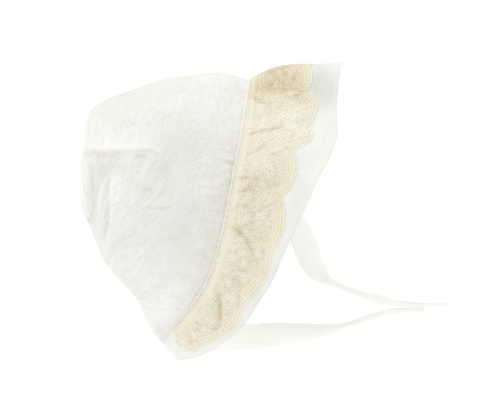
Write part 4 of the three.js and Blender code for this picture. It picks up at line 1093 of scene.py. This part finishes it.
# -------------------------------------------------------------------- materials
class Nodes:
    def __init__(self, name):
        self.material = bpy.data.materials.new(name)
        self.material.use_nodes = True
        self.tree = self.material.node_tree
        self.shader = self.tree.nodes["Principled BSDF"]

    def add(self, kind, values=(), **settings):
        node = self.tree.nodes.new("ShaderNode" + kind)
        for key, value in settings.items():
            setattr(node, key, value)
        for key, value in dict(values).items():
            self.put(node.inputs[key], value)
        return node

    def put(self, socket, value):
        if isinstance(value, bpy.types.NodeSocket):
            self.tree.links.new(value, socket)
        else:
            socket.default_value = value

    def math(self, operation, a, b=0.0):
        return self.add("Math", {0: a, 1: b}, operation=operation).outputs[0]

    def mix(self, factor, a, b):
        return self.add("Mix", {0: factor, 6: a, 7: b}, data_type="RGBA").outputs[2]

    def attribute(self, name):
        return self.add("Attribute", attribute_name=name)

    def noise(self, vector, scale, detail=2.0, rough=0.5):
        return self.add("TexNoise", {"Vector": vector, "Scale": scale, "Detail": detail, "Roughness": rough}).outputs["Fac"]

    def span(self, value, low, high, to_low=0.0, to_high=1.0):
        return self.add("MapRange", {"Value": value, "From Min": low, "From Max": high, "To Min": to_low, "To Max": to_high}).outputs["Result"]

    def stretch(self, vector, x, y, turn=0.0):
        return self.add("Mapping", {"Vector": vector, "Rotation": (0, 0, turn), "Scale": (x, y, 1)}).outputs["Vector"]

    def bump(self, height, strength, distance, normal=None):
        values = {"Height": height, "Strength": strength, "Distance": distance}
        if normal is not None:
            values["Normal"] = normal
        return self.add("Bump", values).outputs["Normal"]

    def weave(self, vector, pitch):
        split = self.add("SeparateXYZ", {0: vector})
        u = self.math("MULTIPLY", split.outputs["X"], math.pi / pitch)
        v = self.math("MULTIPLY", split.outputs["Y"], math.pi / pitch)
        over = self.math("MULTIPLY", self.math("SINE", u), self.math("COSINE", v))
        return self.span(over, -1, 1)


def cotton(name, light, shade, soil_and_shade, crumple, painted_shade, pitch=0.42, crease=0.0):
    n = Nodes(name)
    cloth = n.attribute("cloth").outputs["Vector"]
    weave = n.weave(cloth, pitch)
    mottle = n.noise(n.stretch(cloth, 0.06, 0.06), 1.0, 4.0, 0.6)
    slub = n.noise(n.stretch(cloth, 0.35, 3.2), 1.0, 2.0)
    colour = n.mix(n.span(mottle, 0.35, 0.7), light, shade)
    colour = n.mix(n.math("MULTIPLY", n.span(slub, 0.55, 0.8), 0.35), colour, shade)
    colour = n.mix(n.math("MULTIPLY", n.span(weave, 0.35, 0.0), 0.25), colour, shade)
    strokes = None
    if crease:                  # short creases of the crinkled cloth: painted shade in their hollows, painted highlight on their ridges
        bend = n.add("TexNoise", {"Vector": cloth, "Scale": 0.10, "Detail": 1.0}).outputs["Color"]
        bend = n.add("VectorMath", {0: n.add("VectorMath", {0: bend, 1: (0.5, 0.5, 0.5)}, operation="SUBTRACT").outputs[0],
                                    1: (14.0, 14.0, 0.0)}, operation="MULTIPLY").outputs[0]
        bent = n.add("VectorMath", {0: cloth, 1: bend}, operation="ADD").outputs[0]
        lines = []
        for turn, x, y, seed in ((0.25, 0.36, 0.17, 0.0), (-0.5, 0.33, 0.20, 40.0)):
            at = n.add("VectorMath", {0: bent, 1: (seed, seed, 0.0)}, operation="ADD").outputs[0]
            field = n.noise(n.stretch(n.stretch(at, 1, 1, turn), x, y), 1.0, 1.0, 0.4)
            line = n.add("MapRange", {"Value": n.math("ABSOLUTE", n.math("SUBTRACT", field, 0.5)), "From Min": 0.0, "From Max": 0.23, "To Min": 1.0, "To Max": 0.0},
                         interpolation_type="SMOOTHSTEP").outputs["Result"]
            stops = n.span(n.noise(at, 0.36, 1.0), 0.47, 0.60)
            lines.append(n.math("MULTIPLY", line, stops))
        strokes = n.math("SUBTRACT", lines[1], lines[0])
        # painted shade in the crease hollows, then painted highlight on the raised creases
        colour = n.mix(n.math("MULTIPLY", lines[0], crease), colour, (0.700, 0.706, 0.650, 1))
        colour = n.mix(n.math("MULTIPLY", lines[1], 1.1 * crease), colour, (0.965, 0.965, 0.945, 1))
    # painted shade, darker where the attribute says
    colour = n.mix(n.math("MINIMUM", n.attribute("painted_shade").outputs["Fac"], 1.0), colour, painted_shade)
    # stains, and brown painted shade in folds, wrinkles and along the seam
    colour = n.mix(n.math("MULTIPLY", n.attribute("soil_and_shade").outputs["Fac"], 0.75), colour, soil_and_shade)
    n.put(n.shader.inputs["Base Color"], colour)
    n.put(n.shader.inputs["Roughness"], n.span(mottle, 0.3, 0.7, 0.82, 0.95))
    n.shader.inputs["Specular IOR Level"].default_value = 0.25
    n.shader.inputs["Sheen Weight"].default_value = 0.12
    n.shader.inputs["Sheen Roughness"].default_value = 0.6
    fine = n.math("ABSOLUTE", n.math("SUBTRACT", n.noise(n.stretch(cloth, 0.55, 0.16, 0.25), 1.0, 3.0, 0.55), 0.5))
    cross = n.math("ABSOLUTE", n.math("SUBTRACT", n.noise(n.stretch(cloth, 0.5, 0.3, -0.6), 1.0, 3.0, 0.55), 0.5))
    normal = n.bump(n.math("ADD", fine, cross), crumple, 0.0022)
    if strokes is not None:
        normal = n.bump(strokes, 0.5, 0.0004, normal)
    normal = n.bump(weave, 0.35, 0.00008, normal)
    n.put(n.shader.inputs["Normal"], normal)
    return n.material


def lace_material(name, dark, light, soil_and_shade, fold, net):
    n = Nodes(name)
    cloth = n.attribute("cloth").outputs["Vector"]
    mottle = n.noise(n.stretch(cloth, 0.07, 0.07), 1.0, 4.0, 0.6)
    speck = n.noise(n.stretch(cloth, 0.9, 0.9), 1.0, 2.0)
    if net:
        weave = n.weave(cloth, 0.75)
        base = n.mix(n.span(weave, 0.2, 0.75), dark, light)
    else:
        strand = n.noise(n.stretch(cloth, 2.6, 2.6), 1.0, 2.0)
        weave = strand
        base = n.mix(n.attribute("tint").outputs["Fac"], dark, light)
    colour = n.mix(n.math("MULTIPLY", n.span(mottle, 0.42, 0.68), 0.5), base, dark)
    colour = n.mix(n.math("MULTIPLY", n.span(speck, 0.55, 0.75), 0.3), colour, dark)
    # painted light: the lace made paler on the swell
    colour = n.mix(n.math("MULTIPLY", n.attribute("painted_light").outputs["Fac"], 0.7), colour, (0.890, 0.868, 0.780, 1))
    colour = n.mix(n.math("MULTIPLY", n.attribute("soil_and_shade").outputs["Fac"], 0.75), colour, soil_and_shade)
    # brown painted shade in the brim's folds and wrinkles
    colour = n.mix(n.math("MULTIPLY", n.attribute("fold").outputs["Fac"], 0.75), colour, fold)
    n.put(n.shader.inputs["Base Color"], colour)
    n.put(n.shader.inputs["Roughness"], n.span(speck, 0.3, 0.7, 0.75, 0.95))
    n.shader.inputs["Specular IOR Level"].default_value = 0.25
    n.shader.inputs["Sheen Weight"].default_value = 0.1
    normal = n.bump(weave, 0.5, 0.00012)
    n.put(n.shader.inputs["Normal"], normal)
    return n.material


def satin(name, light, shade):
    n = Nodes(name)
    cloth = n.attribute("cloth").outputs["Vector"]
    split = n.add("SeparateXYZ", {0: cloth})
    rib = n.span(n.math("SINE", n.math("MULTIPLY", split.outputs["Y"], 2 * math.pi / 0.55)), -1, 1)
    thread = n.noise(n.stretch(cloth, 3.4, 0.12), 1.0, 2.0)
    mottle = n.noise(n.stretch(cloth, 0.12, 0.05), 1.0, 3.0, 0.6)
    edge = n.math("MINIMUM", split.outputs["X"], n.math("SUBTRACT", RIBBON, split.outputs["X"]))
    colour = n.mix(n.span(mottle, 0.35, 0.7), light, shade)
    colour = n.mix(n.math("MULTIPLY", n.span(thread, 0.5, 0.8), 0.4), colour, shade)
    colour = n.mix(n.math("MULTIPLY", n.span(edge, 1.1, 0.6), 0.6), colour, shade)
    # painted light: the curled parts are made whiter against the shade in the curls
    colour = n.mix(n.math("MULTIPLY", n.attribute("curled").outputs["Fac"], 0.7), colour, (0.985, 0.985, 0.952, 1))
    colour = n.mix(n.attribute("soil_and_shade").outputs["Fac"], colour, (0.947, 0.863, 0.643, 1))
    n.put(n.shader.inputs["Base Color"], colour)
    n.put(n.shader.inputs["Roughness"], n.span(thread, 0.3, 0.7, 0.42, 0.6))
    n.shader.inputs["Specular IOR Level"].default_value = 0.35
    n.shader.inputs["Sheen Weight"].default_value = 0.15
    # thin ribbon: light comes through it where it is a single layer
    n.put(n.shader.inputs["Subsurface Weight"], n.span(n.attribute("curled").outputs["Fac"], 0.0, 1.0, 0.8, 0.0))
    n.shader.inputs["Subsurface Radius"].default_value = (1.0, 1.0, 1.0)
    n.shader.inputs["Subsurface Scale"].default_value = 0.001
    normal = n.bump(rib, 0.25, 0.00006)
    normal = n.bump(thread, 0.25, 0.0001, normal)
    n.put(n.shader.inputs["Normal"], normal)
    return n.material


def finish(piece, material, slot, *nodes):
    piece.data.materials.append(material)
    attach(piece, "root")
    if nodes:
        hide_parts(*nodes)


SOIL_AND_SHADE_COLOUR = (0.60, 0.51, 0.345, 1)
# colours of the painted shade: on the cotton, and in the brim's dent
PAINTED_SHADE_COLOUR = (0.695, 0.702, 0.640, 1)
PAINTED_DENT_SHADE = (0.660, 0.666, 0.595, 1)
crown_stuff = cotton("crown_cotton", (0.926, 0.928, 0.902, 1), (0.900, 0.902, 0.868, 1), (0.60, 0.53, 0.375, 1), 0.10, PAINTED_SHADE_COLOUR, crease=0.09)
brim_stuff = cotton("brim_cotton", (0.838, 0.838, 0.796, 1), (0.808, 0.808, 0.762, 1), SOIL_AND_SHADE_COLOUR, 0.20, PAINTED_DENT_SHADE, pitch=0.36)
piping_stuff = cotton("piping_cotton", (0.846, 0.828, 0.790, 1), (0.812, 0.794, 0.750, 1), SOIL_AND_SHADE_COLOUR, 0.2, PAINTED_SHADE_COLOUR, pitch=0.3)
stitch_stuff = cotton("stitch_cotton", (0.860, 0.858, 0.832, 1), (0.830, 0.828, 0.794, 1), SOIL_AND_SHADE_COLOUR, 0.2, PAINTED_SHADE_COLOUR, pitch=0.25)
ground_stuff = lace_material("lace_ground", (0.797, 0.752, 0.588, 1), (0.832, 0.794, 0.640, 1), (0.552, 0.414, 0.214, 1), (0.600, 0.430, 0.205, 1), True)
thread_stuff = lace_material("lace_thread", (0.802, 0.760, 0.606, 1), (0.876, 0.848, 0.722, 1), (0.572, 0.442, 0.242, 1), (0.620, 0.455, 0.230, 1), False)
ribbon_stuff = satin("ribbon_satin", (0.984, 0.982, 0.920, 1), (0.966, 0.966, 0.898, 1))

# ----------------------------------------------------------------------- pieces
tie_near, near_line = make_tie("ribbon_near", TIE_NEAR, 51, 0.35)
tie_far, far_line = make_tie("ribbon_far", TIE_FAR, 52, -0.2)
for tie, line, node in ((tie_near, near_line, "tie_near"), (tie_far, far_line, "tie_far")):
    finish(tie, ribbon_stuff, "ribbon", node)

brim, brim_rim, brim_out, brim_a = make_brim()
finish(brim, brim_stuff, "brim_cotton", "brim")
crown, crown_rim, crown_out, crown_a, hems = make_crown()
finish(crown, crown_stuff, "crown_cotton", "crown")
piping = make_piping(crown_rim, crown_out, crown_a, brim_rim, brim_out, brim_a)
finish(piping, piping_stuff, "piping_cotton", "piping")
hem_a = np.linspace(FAR_END + 1.5, NEAR_END - 1.5, 900)
hem_w = 1 - 5.6 / width_at(hem_a)
hem_line = read_field(FIELD_P, hem_a, hem_w)
hem_out = read_field(FIELD_N, hem_a, hem_w)
laced = (hem_a > FAR_LACE - 1) & (hem_a < NEAR_LACE + 1) & (width_at(hem_a) - 5.6 < LACE_INNER + edge_of(hem_a) + 1.0)
shown = (hem_line[:, 2] > 4) & ~laced           # none where the lace lies over the hem
for part in np.split(np.arange(len(shown)), np.flatnonzero(np.diff(shown.astype(int))) + 1):
    if shown[part[0]] and len(part) > 12:
        hems.append((hem_line[part], hem_out[part]))
stitches = make_stitches("hem_stitches", hems)
finish(stitches, stitch_stuff, "brim_cotton")
ground, netting, cords = make_lace()
finish(ground, ground_stuff, "lace", "lace_trim")
finish(netting, thread_stuff, "lace")
finish(cords, thread_stuff, "lace")

# ------------------------------------------------------------------------ stage
floor_mesh = bpy.data.meshes.new("floor")
floor_mesh.from_pydata([(-6, -6, -0.0002), (6, -6, -0.0002), (6, 6, -0.0002), (-6, 6, -0.0002)], [], [(0, 1, 2, 3)])
floor = bpy.data.objects.new("floor", floor_mesh)
bpy.context.scene.collection.objects.link(floor)
floor_stuff = bpy.data.materials.new("floor")
floor_stuff.use_nodes = True
floor_shader = floor_stuff.node_tree.nodes["Principled BSDF"]
floor_shader.inputs["Base Color"].default_value = (0.45, 0.45, 0.45, 1)
floor_shader.inputs["Emission Color"].default_value = (1, 1, 1, 1)
floor_shader.inputs["Emission Strength"].default_value = 0.64
floor_shader.inputs["Roughness"].default_value = 1.0
floor_shader.inputs["Specular IOR Level"].default_value = 0.0
floor_mesh.materials.append(floor_stuff)

world = bpy.data.worlds.new("studio")
world.use_nodes = True
world.node_tree.nodes["Background"].inputs["Color"].default_value = (1, 1, 1, 1)
world.node_tree.nodes["Background"].inputs["Strength"].default_value = 1.0
bpy.context.scene.world = world


def area_light(name, place, size, watts):
    data = bpy.data.lights.new(name, "AREA")
    data.shape, data.size, data.energy = "SQUARE", size, watts
    lamp = bpy.data.objects.new(name, data)
    lamp.location = place
    aim = np.array([0.0, 0.0, 0.04]) - np.array(place)
    lamp.rotation_mode = "QUATERNION"
    from mathutils import Vector
    lamp.rotation_quaternion = Vector(aim).to_track_quat("-Z", "Y")
    lamp.visible_camera = False
    bpy.context.scene.collection.objects.link(lamp)


area_light("key", (-1.3, 1.35, 1.4), 0.7, 9.5)

bpy.context.scene.view_settings.view_transform = "Standard"
bpy.context.scene.view_settings.look = "None"
